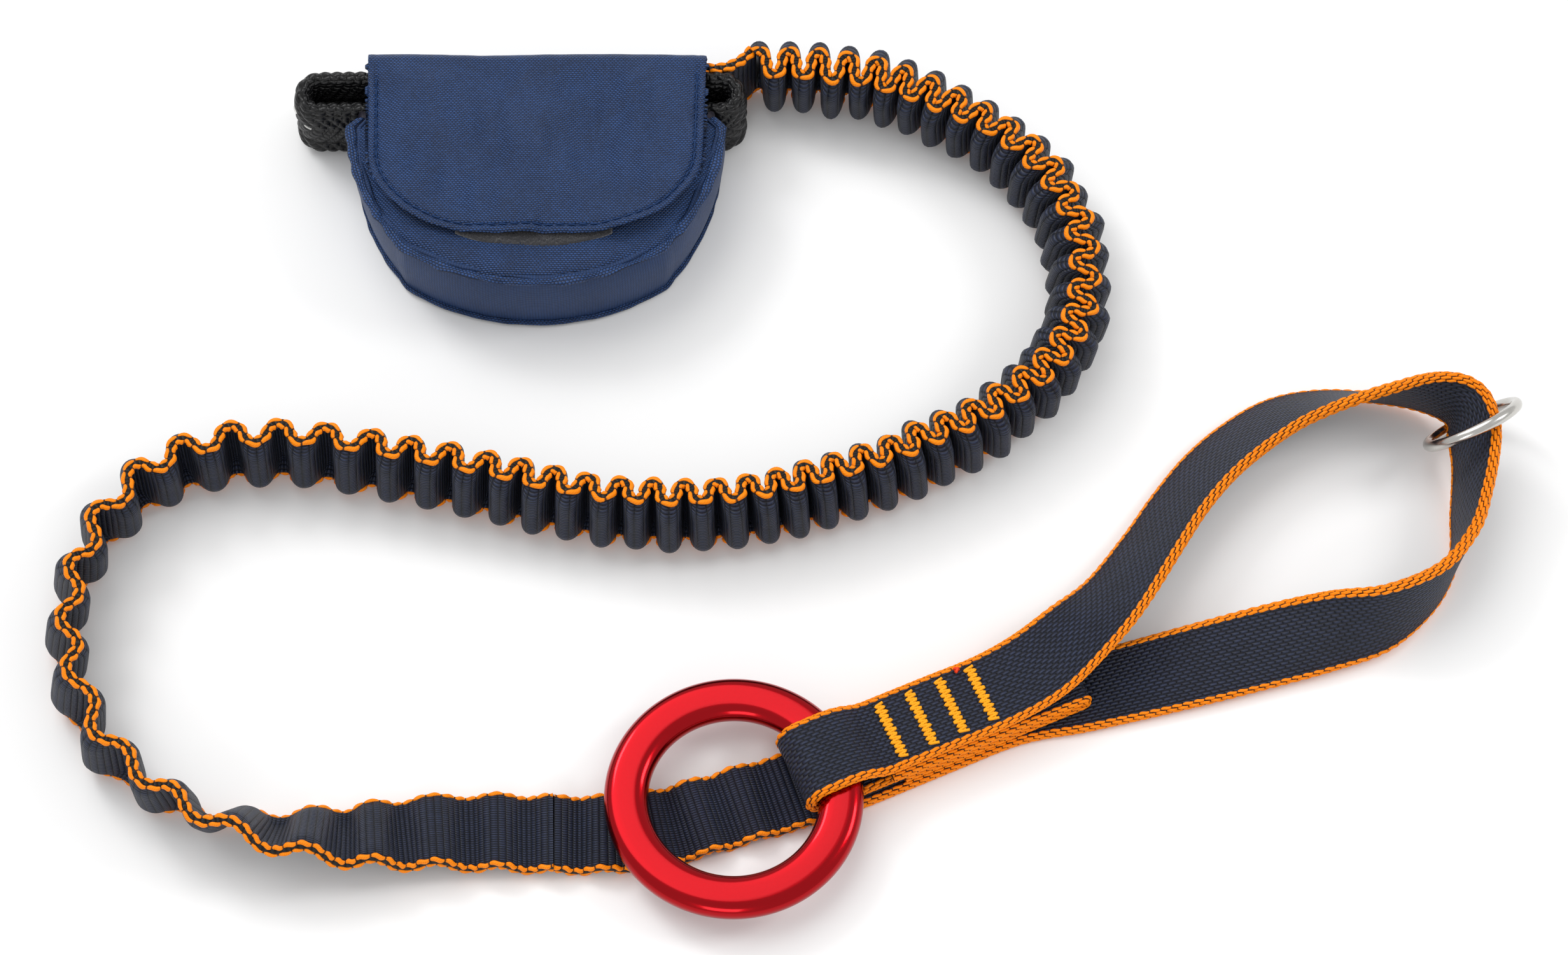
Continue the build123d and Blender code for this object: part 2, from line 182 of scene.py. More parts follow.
def make_piece(name, grids, materials, up=False):
    """One mesh object from several grids. Closed grids are turned to face outwards by the sign of
    their volume, and open ones to face up where up is set."""
    points, corners, sizes, uvs, slots, base = [], [], [], [], [], 0
    for g in grids:
        m, n = g["points"].shape[:2]
        p = g["points"].reshape(-1, 3)
        uv = g["uv"].reshape(-1, 2)
        faces = grid_faces(m, n, g["round_u"], g["round_v"])
        if up:
            turn = np.cross(p[faces[:, 1]] - p[faces[:, 0]], p[faces[:, 3]] - p[faces[:, 0]])[:, 2]
            flip = turn.sum() < 0
        else:
            flip = signed_volume(p - p.mean(0), faces) < 0
        if flip:
            faces = faces[:, ::-1]
        points.append(p)
        corners.append(faces.reshape(-1) + base)
        sizes.append(np.full(len(faces), 4))
        uvs.append(uv[faces.reshape(-1)])
        slots.append(np.full(len(faces), g["material"]))
        if g["caps"]:
            first, last = np.arange(n), np.arange(n) + (m - 1) * n
            for ring, back in ((first, flip), (last, not flip)):
                ring = ring if back else ring[::-1]
                corners.append(ring + base)
                sizes.append(np.array([n]))
                uvs.append(uv[ring])
                slots.append(np.array([g["material"]]))
        base += len(p)
    mesh = bpy.data.meshes.new(name)
    points, corners = np.vstack(points), np.concatenate(corners)
    sizes, slots = np.concatenate(sizes), np.concatenate(slots)
    mesh.vertices.add(len(points))
    mesh.vertices.foreach_set("co", points.astype(np.float32).reshape(-1))
    mesh.loops.add(len(corners))
    mesh.loops.foreach_set("vertex_index", corners.astype(np.int32))
    mesh.polygons.add(len(sizes))
    starts = np.concatenate([[0], np.cumsum(sizes)[:-1]])
    mesh.polygons.foreach_set("loop_start", starts.astype(np.int32))
    mesh.polygons.foreach_set("material_index", slots.astype(np.int32))
    mesh.update(calc_edges=True)
    mesh.validate()
    layer = mesh.uv_layers.new(name="UVMap")
    layer.data.foreach_set("uv", np.vstack(uvs).astype(np.float32).reshape(-1))
    mesh.shade_smooth()
    piece = bpy.data.objects.new(name, mesh)
    bpy.context.collection.objects.link(piece)
    for material in materials:
        mesh.materials.append(material)
    return piece


def place(piece, body, slot, *nodes):
    """The piece rides on its body and stands for its CAD nodes, which it hides. slot is not used."""
    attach(piece, body)
    if nodes:
        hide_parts(*nodes)
    return piece


def section(width, thickness, across, around):
    """Closed outline of webbing cut across: two flat faces joined by half rounds at the selvages.
    Returns each point's place across and through, and the outward direction there."""
    half, r = width / 2, thickness / 2
    flat = np.linspace(half - r, r - half, across)
    turn = np.linspace(pi / 2, 3 * pi / 2, around + 2)[1:-1]
    a = np.concatenate([flat, r - half + r * np.cos(turn), -flat, half - r - r * np.cos(turn)])
    b = np.concatenate([np.full(across, r), r * np.sin(turn), np.full(across, -r), -r * np.sin(turn)])
    na = np.concatenate([np.zeros(across), np.cos(turn), np.zeros(across), -np.cos(turn)])
    nb = np.concatenate([np.ones(across), np.sin(turn), -np.ones(across), -np.sin(turn)])
    return a, b, na, nb


def float_cord(edge, wide, face, angle, side, r, core, pitch, phase, u, sides=5, sway=0.0):
    """One selvage yarn as a tube that lies round the webbing's half round edge at an angle. Over each
    float its radius is r (0.45 + 0.55 |sin|^0.7), so it sinks at the crossings, and it sways across."""
    turns = u / pitch + phase
    radius = r * (0.45 + 0.55 * np.abs(np.sin(pi * turns)) ** 0.7)
    slant = angle + sway * np.sin(2 * pi * turns)
    reach = core - 0.1 * r - 0.5 * (r - radius)
    turn = np.linspace(0, 2 * pi, sides, endpoint=False)
    a = (side * reach * np.cos(slant))[:, None] + radius[:, None] * np.cos(turn)
    b = (reach * np.sin(slant))[:, None] + radius[:, None] * np.sin(turn)
    points = edge[:, None] + wide[:, None] * a[..., None] + face[:, None] * b[..., None]
    points[..., 2] = np.maximum(points[..., 2], 0.05 * MM)  # pressed flat where it lies on the floor
    uv = np.stack(np.broadcast_arrays((turns * FLOAT)[:, None], turn[None, :] * r), axis=-1)
    return grid(points, uv, 1, round_v=True, caps=True)


def tube(points, radius, sides=8, closed=False, material=0):
    """A round tube along points: each ring lies square to the line, turned by a fixed up vector."""
    points = np.asarray(points, float)
    if closed:
        ahead = unit(np.roll(points, -1, 0) - np.roll(points, 1, 0))
    else:
        ahead = tangents(points)
    guide = np.where(np.abs(ahead[:, 2:3]) > 0.95, [[1.0, 0, 0]], [[0, 0, 1.0]])
    one = unit(np.cross(ahead, guide))
    two = np.cross(ahead, one)
    turn = np.linspace(0, 2 * pi, sides, endpoint=False)
    r = np.broadcast_to(np.asarray(radius, float).reshape(-1, 1), (len(points), 1))
    ring = one[:, None] * np.cos(turn)[:, None] + two[:, None] * np.sin(turn)[:, None]
    uv = np.stack(np.broadcast_arrays(arc_length(points)[:, None], turn * 0.001), axis=-1)
    return grid(
        points[:, None] + ring * r[..., None], uv, material, round_u=closed, round_v=True, caps=not closed
    )


# ---------------------------------------------------------------- materials


def add(tree, kind, inputs=(), out=0, **settings):
    """Adds a node with its settings, fills its inputs with values or links, and gives an output."""
    node = tree.nodes.new("ShaderNode" + kind)
    for key, value in settings.items():
        setattr(node, key, value)
    for key, value in inputs.items() if isinstance(inputs, dict) else enumerate(inputs):
        if isinstance(value, bpy.types.NodeSocket):
            tree.links.new(value, node.inputs[key])
        else:
            node.inputs[key].default_value = value
    return node.outputs[out] if len(node.outputs) else None


def start_material(name):
    """An empty material and its node tree."""
    made = bpy.data.materials.new(name)
    made.use_nodes = True
    made.node_tree.nodes.clear()
    return made, made.node_tree


def shade(colour, factor):
    """A colour made darker or lighter by a factor."""
    return (*[min(c * factor, 1.0) for c in colour[:3]], 1.0)


def cloth_axes(tree):
    """The piece's own cloth map: along and across it in metres."""
    split = add(tree, "SeparateXYZ", [add(tree, "UVMap", uv_map="UVMap")]).node
    return split.outputs[0], split.outputs[1]


def woven(tree, one, two, pitch_one, pitch_two, stagger, sharp):
    """Floats of a weave: mound = (sin(pi a) sin(pi b))^sharp in cells of the two pitches, each row
    shifted by stagger. Gives the mound's height and a value that differs from float to float."""
    row = add(tree, "Math", [two, pitch_two], operation="DIVIDE")
    row_number = add(tree, "Math", [row], operation="FLOOR")
    step = add(tree, "Math", [one, pitch_one], operation="DIVIDE")
    shifted = add(tree, "Math", [row_number, stagger, step], operation="MULTIPLY_ADD")
    waves = []
    for value in (shifted, row):
        share = add(tree, "Math", [value], operation="FRACT")
        turn = add(tree, "Math", [share, pi], operation="MULTIPLY")
        waves.append(add(tree, "Math", [turn], operation="SINE"))
    mound = add(tree, "Math", waves, operation="MULTIPLY")
    height = add(tree, "Math", [mound, sharp], operation="POWER")
    cell = add(tree, "CombineXYZ", [add(tree, "Math", [shifted], operation="FLOOR"), row_number])
    return height, add(tree, "TexWhiteNoise", {"Vector": cell}, noise_dimensions="2D")


def woven_material(name, base, pitches, depth, dark, light, roughness, sheen, edge=None):
    """Cloth whose colour runs from a painted shade in the gaps between floats to a float whose tone varies at
    random up to a painted highlight, with the weave as its bump. edge is (place across, colour): beyond that
    place the ground takes that colour."""
    made, tree = start_material(name)
    one, two = cloth_axes(tree)
    height, chance = woven(tree, one, two, *pitches)
    coords = add(tree, "TexCoord", out="Object")
    cloud = add(tree, "TexNoise", {"Vector": coords, "Scale": 90.0, "Detail": 3.0})
    cloud = add(tree, "Math", [cloud, 0.75], operation="MULTIPLY")
    tone = add(tree, "Math", [chance, 0.35, cloud], operation="MULTIPLY_ADD")
    # painted highlight: each float's tone, random from float to float, reaches light times the base colour
    ends = {0: tone, 6: shade(base, 0.72), 7: shade(base, light)}
    yarn = add(tree, "Mix", ends, 2, data_type="RGBA")
    # painted shade: where the mound falls away between floats the colour goes to dark times the base
    colour = add(tree, "Mix", {0: height, 6: shade(base, dark), 7: yarn}, 2, data_type="RGBA")
    if edge is not None:
        across = add(tree, "Math", [two], operation="ABSOLUTE")
        outside = add(tree, "Math", [across, edge[0]], operation="GREATER_THAN")
        colour = add(tree, "Mix", {0: outside, 6: colour, 7: edge[1]}, 2, data_type="RGBA")
    shader = add(tree, "BsdfPrincipled", {
        "Base Color": colour,
        "Roughness": roughness,
        "Sheen Weight": sheen,
        "Sheen Roughness": 0.4,
        "Specular IOR Level": 0.35,
        "Normal": add(tree, "Bump", {"Height": height, "Distance": depth, "Strength": 1.0}),
    })
    add(tree, "OutputMaterial", {"Surface": shader})
    return made


def twisted_yarn(name, base, roughness=0.5, floats=False):
    """Polyester thread, twisted and glossy: fine slanting plies 0.55 mm apart bump it and are painted lighter
    on their crowns and darker between them, as painted highlight and shade. Floats darken to black where one
    dives under the next, a painted shade, by |sin| of the float's length."""
    made, tree = start_material(name)
    one, two = cloth_axes(tree)
    run = add(tree, "Math", [one, 1 / (0.55 * MM)], operation="MULTIPLY")
    ply = add(tree, "Math", [run, add(tree, "Math", [two, MM], operation="DIVIDE")], operation="ADD")
    ply = add(tree, "Math", [ply, pi], operation="MULTIPLY")
    for operation in ("SINE", "ABSOLUTE"):
        ply = add(tree, "Math", [ply], operation=operation)
    coords = add(tree, "TexCoord", out="Object")
    cloud = add(tree, "TexNoise", {"Vector": coords, "Scale": 300.0})
    # painted highlight on the plies' crowns and painted shade in the grooves between them, mixed with a
    # random cloud
    tone = add(tree, "Math", [ply, 0.6], operation="MULTIPLY")
    tone = add(tree, "Math", [cloud, 0.5, tone], operation="MULTIPLY_ADD")
    ends = {0: tone, 6: shade(base, 0.8), 7: shade(base, 1.25)}
    colour = add(tree, "Mix", ends, 2, data_type="RGBA")
    if floats:
        # painted shade: each float goes nearly black where it dives under the next
        rise = add(tree, "Math", [one, pi / FLOAT], operation="MULTIPLY")
        for operation in ("SINE", "ABSOLUTE"):
            rise = add(tree, "Math", [rise], operation=operation)
        lit = add(tree, "MapRange", [rise, 0.04, 0.3, 0.0, 1.0])
        colour = add(tree, "Mix", {0: lit, 6: shade(base, 0.02), 7: colour}, 2, data_type="RGBA")
    shader = add(tree, "BsdfPrincipled", {
        "Base Color": colour,
        "Roughness": roughness,
        "Specular IOR Level": 0.2,
        "Normal": add(tree, "Bump", {"Height": ply, "Distance": 0.06 * MM, "Strength": 0.7}),
    })
    add(tree, "OutputMaterial", {"Surface": shader})
    return made


def grained_material(name, base, noise, dark, light, roughness, depth=0, **extra):
    """A surface with a noise grain in object space, so CAD nodes can use it: the grain runs the
    colour from dark to light times the base and the roughness between two values where it is a
    pair, and stands up by depth. extra gives further shader sockets, with _ for a space."""
    made, tree = start_material(name)
    coords = add(tree, "TexCoord", out="Object")
    grain = add(tree, "TexNoise", {"Vector": coords, **noise})
    ends = {0: grain, 6: shade(base, dark), 7: shade(base, light)}
    inputs = {key.replace("_", " "): value for key, value in extra.items()}
    inputs["Base Color"] = add(tree, "Mix", ends, 2, data_type="RGBA")
    if isinstance(roughness, tuple):
        roughness = add(tree, "MapRange", [grain, 0.3, 0.7, *roughness])
    inputs["Roughness"] = roughness
    if depth:
        inputs["Normal"] = add(tree, "Bump", {"Height": grain, "Distance": depth, "Strength": 1.0})
    add(tree, "OutputMaterial", {"Surface": add(tree, "BsdfPrincipled", inputs)})
    return made


def make_materials():
    """Every material of the lanyard, by its short name."""
    tint = bpy.context.scene.lanyard_colours
    navy, orange, tack, black, nylon, red, steel = (
        tuple(getattr(tint, key)) for key in ("navy", "orange", "tack", "black", "nylon", "red", "steel")
    )
    # The woven cloths paint shade in the gaps between their floats and a highlight on the floats, by their
    # dark and light factors
    made = {
        # Polyester webbing, plain woven: long floats along it, 2.4 mm by 1.0 mm, soft sheen
        "handle": woven_material(
            "woven_polyester_webbing", navy, (2.4 * MM, 1.0 * MM, 0.5, 0.7), 0.6 * MM,
            0.05, 2.2, 0.5, 0.02, (9.9 * MM, shade(black, 0.8)),
        ),
        # Gathered stretch webbing: weft columns 1.7 mm apart, floats 0.7 mm high
        "stretch": woven_material(
            "gathered_polyester_webbing", navy, (1.7 * MM, 0.7 * MM, 0.0, 0.6), 0.6 * MM,
            0.05, 2.1, 0.46, 0.02, (10.0 * MM, shade(black, 0.9)),
        ),
        # Polyamide absorber webbing: coarse diagonal cords 2.4 mm apart, slightly glossy
        "absorber": woven_material(
            "braided_polyamide_webbing", black, (2.4 * MM, 1.3 * MM, 0.25, 0.6), 0.35 * MM,
            0.2, 2.4, 0.38, 0.0,
        ),
        # Ballistic nylon: short glossy floats in a staggered grid, drawn at 1.0 mm by 0.6 mm, which
        # is coarser than real, so that they show
        "nylon": woven_material(
            "plain_woven_nylon", nylon, (1.02 * MM, 0.58 * MM, 0.5, 0.8), 0.25 * MM,
            0.12, 2.4, 0.42, 0.02,
        ),
        # Ribbed nylon tape of the gusset: ribs 0.8 mm apart that run across it
        "gusset": woven_material(
            "ribbed_nylon_tape", nylon, (0.8 * MM, 0.5 * MM, 0.0, 0.35), 0.14 * MM,
            0.3, 1.45, 0.5, 0.02,
        ),
        # Narrow binding tape: dull ribs 0.9 mm apart
        "binding": woven_material(
            "ribbed_binding_tape", linear("#2A2438"), (0.9 * MM, 0.5 * MM, 0.0, 0.4), 0.2 * MM,
            0.3, 1.6, 0.6, 0.02,
        ),
        # Nylon coated on its inner face: nearly smooth
        "lining": woven_material(
            "coated_nylon_lining", linear("#1C2130"), (0.7 * MM, 0.7 * MM, 0.5, 0.8), 0.05 * MM,
            0.7, 1.2, 0.5, 0.1,
        ),
        "orange": twisted_yarn("orange_polyester_yarn", orange, floats=True),
        "tack": twisted_yarn("yellow_bonded_thread", tack, 0.45),
        "seam": twisted_yarn("blue_sewing_thread", shade(nylon, 0.85)),
        # Painted glints on the absorber loops, drawn as short white threads
        "painted_glint": twisted_yarn("white_painted_glint", linear("#E8E8E4"), 0.35),
        "knot": twisted_yarn("red_thread_end", linear("#E8401A")),
        # Loop pile of a touch fastener: a fuzzy black mat, coarse noise 0.5 mm across and no gloss
        "pile": grained_material(
            "looped_nylon_pile", linear("#15151A"), {"Scale": 2200.0, "Detail": 6.0, "Roughness": 0.7},
            0.4, 3.2, 0.95, 0.5 * MM, Sheen_Weight=0.5,
        ),
        # Bead blasted, dyed and sealed aluminium: a metal with a tinted, slightly grained gloss
        "red": grained_material(
            "red_anodised_aluminium", red, {"Scale": 2600.0, "Detail": 2.0},
            0.98, 1.02, (0.19, 0.23), Metallic=1.0, Coat_Weight=0.25, Coat_Roughness=0.1,
        ),
        # Drawn and tumbled stainless wire: bright metal, faint smears
        "steel": grained_material(
            "polished_stainless_steel", steel, {"Scale": 500.0, "Detail": 3.0},
            0.9, 1.0, (0.14, 0.28), Metallic=1.0,
        ),
    }
    # Plain cloths inside the pouch: a fine speckle about 1 mm across, no gloss
    for key, name, base, roughness in (
        ("label", "blank_woven_label", linear("#E9E9E4"), 0.6),
        ("absorber_block", "folded_polyamide_webbing", black, 0.6),
        ("thread_block", "white_bonded_stitching", linear("#DAD9D2"), 0.55),
        ("tape", "plain_cotton_tape", linear("#CFC9BA"), 0.75),
    ):
        noise = {"Scale": 1200.0, "Detail": 4.0}
        made[key] = grained_material(name, base, noise, 0.6, 1.25, roughness, 0.1 * MM)
    return made


MADE = {}


def material(name):
    """A material by its short name, made with the others at first use."""
    if not MADE:
        MADE.update(make_materials())
    return MADE[name]


# ---------------------------------------------------------------- webbing strips


def webbing_strip(sizes, centre, wide, yarns, offset=None, across=17, around=4):
    """Grids of a webbing: a ground and the yarns of its selvages. The middle surface is
    centre + wide times the place across + offset(place), and the section stands out from it along
    the cross product of the surface's run and wide."""
    width, thickness = sizes.webbing_width, sizes.webbing_thickness
    offset = offset or (lambda a: np.zeros((len(centre), len(a), 3)))
    a, b, _, _ = section(width, thickness, across, around)
    middle = centre[:, None] + wide[:, None] * a[None, :, None] + offset(a)
    out = unit(np.cross(np.gradient(middle, axis=0), wide[:, None]))
    u = arc_length(centre + offset(np.zeros(1))[:, 0])
    uv = np.stack(np.broadcast_arrays(u[:, None], a[None, :]), axis=-1)
    points = middle + out * b[None, :, None]
    points[..., 2] = np.maximum(points[..., 2], 0.02 * MM)
    grids = [grid(points, uv, 0, round_v=True, caps=True)]
    for side in (-1, 1):
        at = np.array([side * (width - thickness) / 2])
        edge = (centre[:, None] + wide[:, None] * at[None, :, None] + offset(at))[:, 0]
        face = unit(np.cross(np.gradient(edge, axis=0), wide))
        run = arc_length(edge)
        for angle, r, pitch, phase, sway in yarns:
            shift = phase + (0.37 if side > 0 else 0)
            grids.append(float_cord(
                edge, wide, face, radians(angle), side, r, thickness / 2, pitch, shift, run, sway=sway
            ))
    return grids


def webbing_pieces(name, grids, grounds):
    """The ground and the selvage yarns of a webbing as two mesh pieces."""
    ground = [dict(g, material=g["material"] // 2) for g in grids if g["material"] != 1]
    yarns = [dict(g, material=0) for g in grids if g["material"] == 1]
    return (
        make_piece(name, ground, [material(m) for m in grounds]),
        make_piece(name + "_selvages", yarns, [material("orange")]),
    )


def place_webbing(name, grids, grounds, *nodes):
    """A webbing's two pieces, both riding on the lanyard; the ground stands for the CAD nodes."""
    piece, yarns = webbing_pieces(name, grids, grounds)
    place(piece, "lanyard", "lanyard_webbing", *nodes)
    place(yarns, "lanyard", "lanyard_webbing")
    return piece, yarns


# Yarns of a selvage: angle round the edge in degrees, radius, float pitch, phase, sway
STRETCH_YARNS = [(angle, 0.76 * MM, 3.6 * MM, phase, 0.2) for angle, phase in ((-50, 0.0), (50, 0.5))]
HANDLE_YARNS = [
    (angle, r * MM, 3.1 * MM, phase, 0.08)
    for angle, r, phase in (
        (-75, 0.5, 0.5), (-37, 0.52, 0.0), (0, 0.54, 0.5), (37, 0.52, 0.0), (75, 0.5, 0.5)
    )
]


# The stretch webbing's route: x, y, z in millimetres, the same corners as its CAD tube
ROUTE = [
    (62.0, 36.5, 11.0), (80.0, 36.5, 11.0), (101.0, 33.5, 11.0), (122.0, 23.0, 11.0),
    (139.0, 8.0, 11.0), (149.5, -10.0, 11.0), (152.0, -29.0, 11.0), (148.0, -48.0, 11.0),
    (137.5, -63.0, 11.0), (120.5, -76.0, 11.0), (99.5, -87.5, 11.0), (75.5, -96.0, 11.0),
    (49.5, -101.5, 11.0), (21.5, -101.0, 11.0), (-8.0, -94.5, 11.0), (-38.5, -87.5, 11.0),
    (-68.5, -82.5, 11.0), (-92.5, -85.5, 11.0), (-110.0, -96.5, 11.0), (-122.0, -113.5, 11.0),
    (-127.5, -134.0, 11.0), (-125.5, -154.5, 11.0), (-114.5, -174.0, 11.0), (-96.5, -188.5, 11.0),
    (-72.5, -197.0, 9.5), (-46.0, -198.0, 6.5), (-19.0, -194.5, 4.0), (8.0, -194.0, 3.0),
]

# Pleats along the route: length, pleats so far, height of the pleats at the edges, how much
# further they stand out half way up, lean from upright in degrees, sideways shift
PLEATS = [
    (0, 0.9, 3.7, 3.6, -8, 1.7), (5.3, 1.5, 3.8, 3.8, -8, 1.7), (30.2, 4.5, 3.8, 3.9, -8, 1.0),
    (46, 6.5, 3.7, 4.0, -7, 0.0), (62.7, 8.5, 3.5, 4.0, -4, 0.2), (79.7, 10.5, 3.4, 4.1, 2, 0.9),
    (97.2, 12.5, 3.4, 4.2, 6, 1.0), (114.3, 14.5, 3.4, 4.2, 8, 1.3), (132.4, 16.5, 3.4, 4.1, 8, 1.9),
    (147.8, 18.5, 3.3, 4.0, 7, 2.2), (163.6, 20.5, 3.3, 3.8, 2, 1.9), (180.9, 22.5, 3.3, 3.6, -4, 1.9),
    (197.9, 24.5, 3.3, 3.4, -9, 1.6), (223.2, 27.5, 3.2, 3.2, -11, 1.5), (247.7, 30.5, 3.2, 3.1, -12, 1.7),
    (283.3, 34.5, 3.2, 2.9, -12, 1.0), (321.1, 38.5, 3.1, 2.7, -12, 0.0), (353.6, 41.5, 3.0, 2.6, -10, -0.2),
    (392.1, 44.5, 2.9, 2.4, -6, -0.7), (419.1, 46.5, 2.7, 2.3, 0, -1.0), (452.0, 48.5, 2.6, 2.2, 9, 0.6),
    (484.8, 50.5, 2.4, 2.1, 10, 1.4), (505.1, 51.5, 2.3, 1.9, 4, 1.2), (526, 52.6, 2.1, 1.6, -6, 0.8),
    (541.5, 53.5, 2.0, 1.2, -20, 0.6), (561, 54.5, 1.9, 0.8, -44, 0.8), (579.7, 55.5, 1.8, 0.4, -62, 1.0),
    (595.2, 56.5, 1.7, 0.2, -76, 1.2), (614.6, 57.6, 1.6, 0.1, -86, 0.8), (636, 59.0, 1.5, 0.0, -90, 0.0),
]


def route_line(points):
    """Points of the smooth line that a NURBS spline of order 3 makes from a route's corners."""
    curve = bpy.data.curves.new("route", "CURVE")
    curve.dimensions = "3D"
    curve.resolution_u = 24
    spline = curve.splines.new("NURBS")
    spline.points.add(len(points) - 1)
    corners = np.hstack([np.asarray(points, float) * MM, np.ones((len(points), 1))])
    spline.points.foreach_set("co", corners.reshape(-1))
    spline.order_u = 3
    spline.use_endpoint_u = True
    holder = bpy.data.objects.new("route", curve)
    bpy.context.collection.objects.link(holder)
    bpy.context.view_layer.update()
    mesh = bpy.data.meshes.new_from_object(holder)
    line = np.zeros(len(mesh.vertices) * 3)
    mesh.vertices.foreach_get("co", line)
    bpy.data.objects.remove(holder)
    bpy.data.curves.remove(curve)
    bpy.data.meshes.remove(mesh)
    return line.reshape(-1, 3)


def pleat_values(length):
    """The PLEATS table read at lengths in metres: pleats so far, edge height, flare, lean, shift."""
    table = np.array(PLEATS, float)
    rows = [np.interp(length / MM, table[:, 0], table[:, k]) for k in range(1, 6)]
    return rows[0], rows[1] * MM, rows[2] * MM, np.radians(rows[3]), rows[4] * MM


def pleat_offset(face, ahead, pleats, edge_height, flare, half_width, seed, calmer=None):
    """Pleats as a wave along face: height times cos of the pleats' angle, higher half way across by
    flare times (1 - |a/half|^7), with a drift ahead of sin of twice the angle that rounds each
    fold into a bulb. Each half pleat's height differs a little. The edge that stands on the floor
    waves less by the share calmer."""
    calmer = np.zeros(len(pleats)) if calmer is None else calmer
    rng = np.random.default_rng(seed)
    uneven = 1 + 0.07 * rng.standard_normal(200)
    height = np.interp(pleats * 2, np.arange(200), uneven)
    angle = 2 * pi * pleats

    def offset(a):
        share = np.clip(1 - np.abs(a[None, :] / half_width) ** 7, 0, 1)
        calm = calmer[:, None] * np.clip(a[None, :] / half_width, 0, 1) ** 2 * (1 - share)
        tall = edge_height[:, None] * (1 - calm) + flare[:, None] * share
        wave = tall * height[:, None] * np.cos(angle)[:, None]
        bulb = 0.55 * MM * np.clip(edge_height / (3 * MM), 0, 1) ** 2
        drift = (bulb * np.sin(2 * angle))[:, None] * np.ones_like(share)
        return face[:, None] * wave[..., None] + ahead[:, None] * drift[..., None]

    return offset


class LANYARD_OT_stretch_webbing(bpy.types.Operator):
    """Add the gathered stretch webbing, a free cord from the pouch to the base strap"""

    bl_idname = "lanyard.stretch_webbing"
    bl_label = "Stretch webbing"

    def execute(self, context):
        sizes = context.scene.lanyard_sizes
        line = route_line(ROUTE)
        whole = arc_length(line)[-1]
        table = np.array(PLEATS, float)
        last_pleat = pleat_values(np.array([whole]))[0][0]
        pleats = np.linspace(table[0, 1], last_pleat, int(38 * (last_pleat - table[0, 1])))
        length = np.clip(np.interp(pleats, table[:, 1], table[:, 0] * MM), 0, whole)
        middle = along(line, length)
        flat = np.diff(along(line, np.linspace(0, whole, 400)), axis=0)
        flat[:, 2] = 0
        ahead = unit(np.stack([
            np.interp(length, np.linspace(0, whole, 399), flat[:, k]) for k in range(3)
        ], axis=1))
        left = np.stack([-ahead[:, 1], ahead[:, 0], np.zeros(len(ahead))], axis=1)
        _, edge_height, flare, lean, shift = pleat_values(length)
        wide = -(np.cos(lean)[:, None] * UP + np.sin(lean)[:, None] * left)
        face = np.cross(ahead, wide)
        centre = middle + left * shift[:, None]
        half, r = sizes.webbing_width / 2, sizes.webbing_thickness / 2
        flatness = np.abs(np.sin(lean))
        centre[:, 2] = half * np.abs(np.cos(lean)) + (r + edge_height * 1.1) * flatness + 0.3 * MM
        calmer = 0.45 * np.clip(np.cos(lean), 0, 1)
        offset = pleat_offset(face, ahead, pleats, edge_height, flare, half - r, 7, calmer)
        piece, yarns = place_webbing(
            "stretch_webbing", webbing_strip(sizes, centre, wide, STRETCH_YARNS, offset, 12, 3), ["stretch"],
            "elastic_webbing", "elastic_core",
        )
        return {"FINISHED"}


# ---------------------------------------------------------------- sewn stack, handle and tab

RING_CENTRE = np.array([56.5, -186.2, 0.0]) * MM
STACK_ANGLE = radians(24)
STACK_AHEAD = np.array([cos(STACK_ANGLE), sin(STACK_ANGLE), 0.0])
STACK_ACROSS = np.array([-sin(STACK_ANGLE), cos(STACK_ANGLE), 0.0])

# The webbing from the stretch part's end through the stack's lowest layer, round the handle and back
# over the stack: x, y, z in millimetres and the lean of its width from flat in degrees
HANDLE = [
    (8.0, -194.0, 2.9, 0), (16.0, -193.9, 2.8, 0), (24.0, -193.7, 2.8, 0), (33.0, -192.7, 2.8, 0),
    (41.6, -190.6, 2.7, 0), (51.0, -187.6, 2.6, 0), (60.0, -184.6, 2.4, 0), (69.0, -181.7, 1.8, 0),
    (78.0, -178.6, 1.4, 0), (86.6, -175.3, 1.4, 0), (99.0, -169.8, 1.4, 0), (113.0, -163.5, 1.4, 0),
    (127.8, -157.0, 1.4, 0), (138.0, -154.0, 1.4, 0), (148.5, -152.2, 1.6, 0), (158.0, -150.0, 2.1, 3),
    (168.0, -147.7, 2.9, 7), (187.4, -143.1, 4.8, 17), (204.3, -139.1, 6.6, 28),
    (219.2, -136.0, 8.8, 42), (235.2, -132.6, 11.2, 66), (249.0, -123.3, 11.6, 88),
    (257.0, -110.5, 11.6, 101), (259.6, -98.2, 12.2, 111), (261.4, -86.2, 14.0, 116),
    (261.2, -78.0, 15.4, 118), (259.4, -72.0, 16.0, 112), (254.6, -68.0, 15.4, 97),
    (245.0, -65.3, 13.2, 80), (232.3, -65.0, 11.4, 64), (219.5, -66.4, 10.0, 50),
    (208.0, -70.0, 9.0, 41), (197.3, -77.2, 8.6, 38), (187.9, -86.0, 8.6, 38), (179.4, -97.0, 8.8, 39),
    (171.2, -110.0, 9.4, 37), (160.6, -126.2, 10.8, 28), (150.0, -138.0, 12.4, 12),
    (139.2, -147.6, 11.5, 0), (126.8, -154.9, 10.7, 0), (112.0, -161.5, 10.7, 0),
    (97.6, -167.9, 10.7, 0),
]


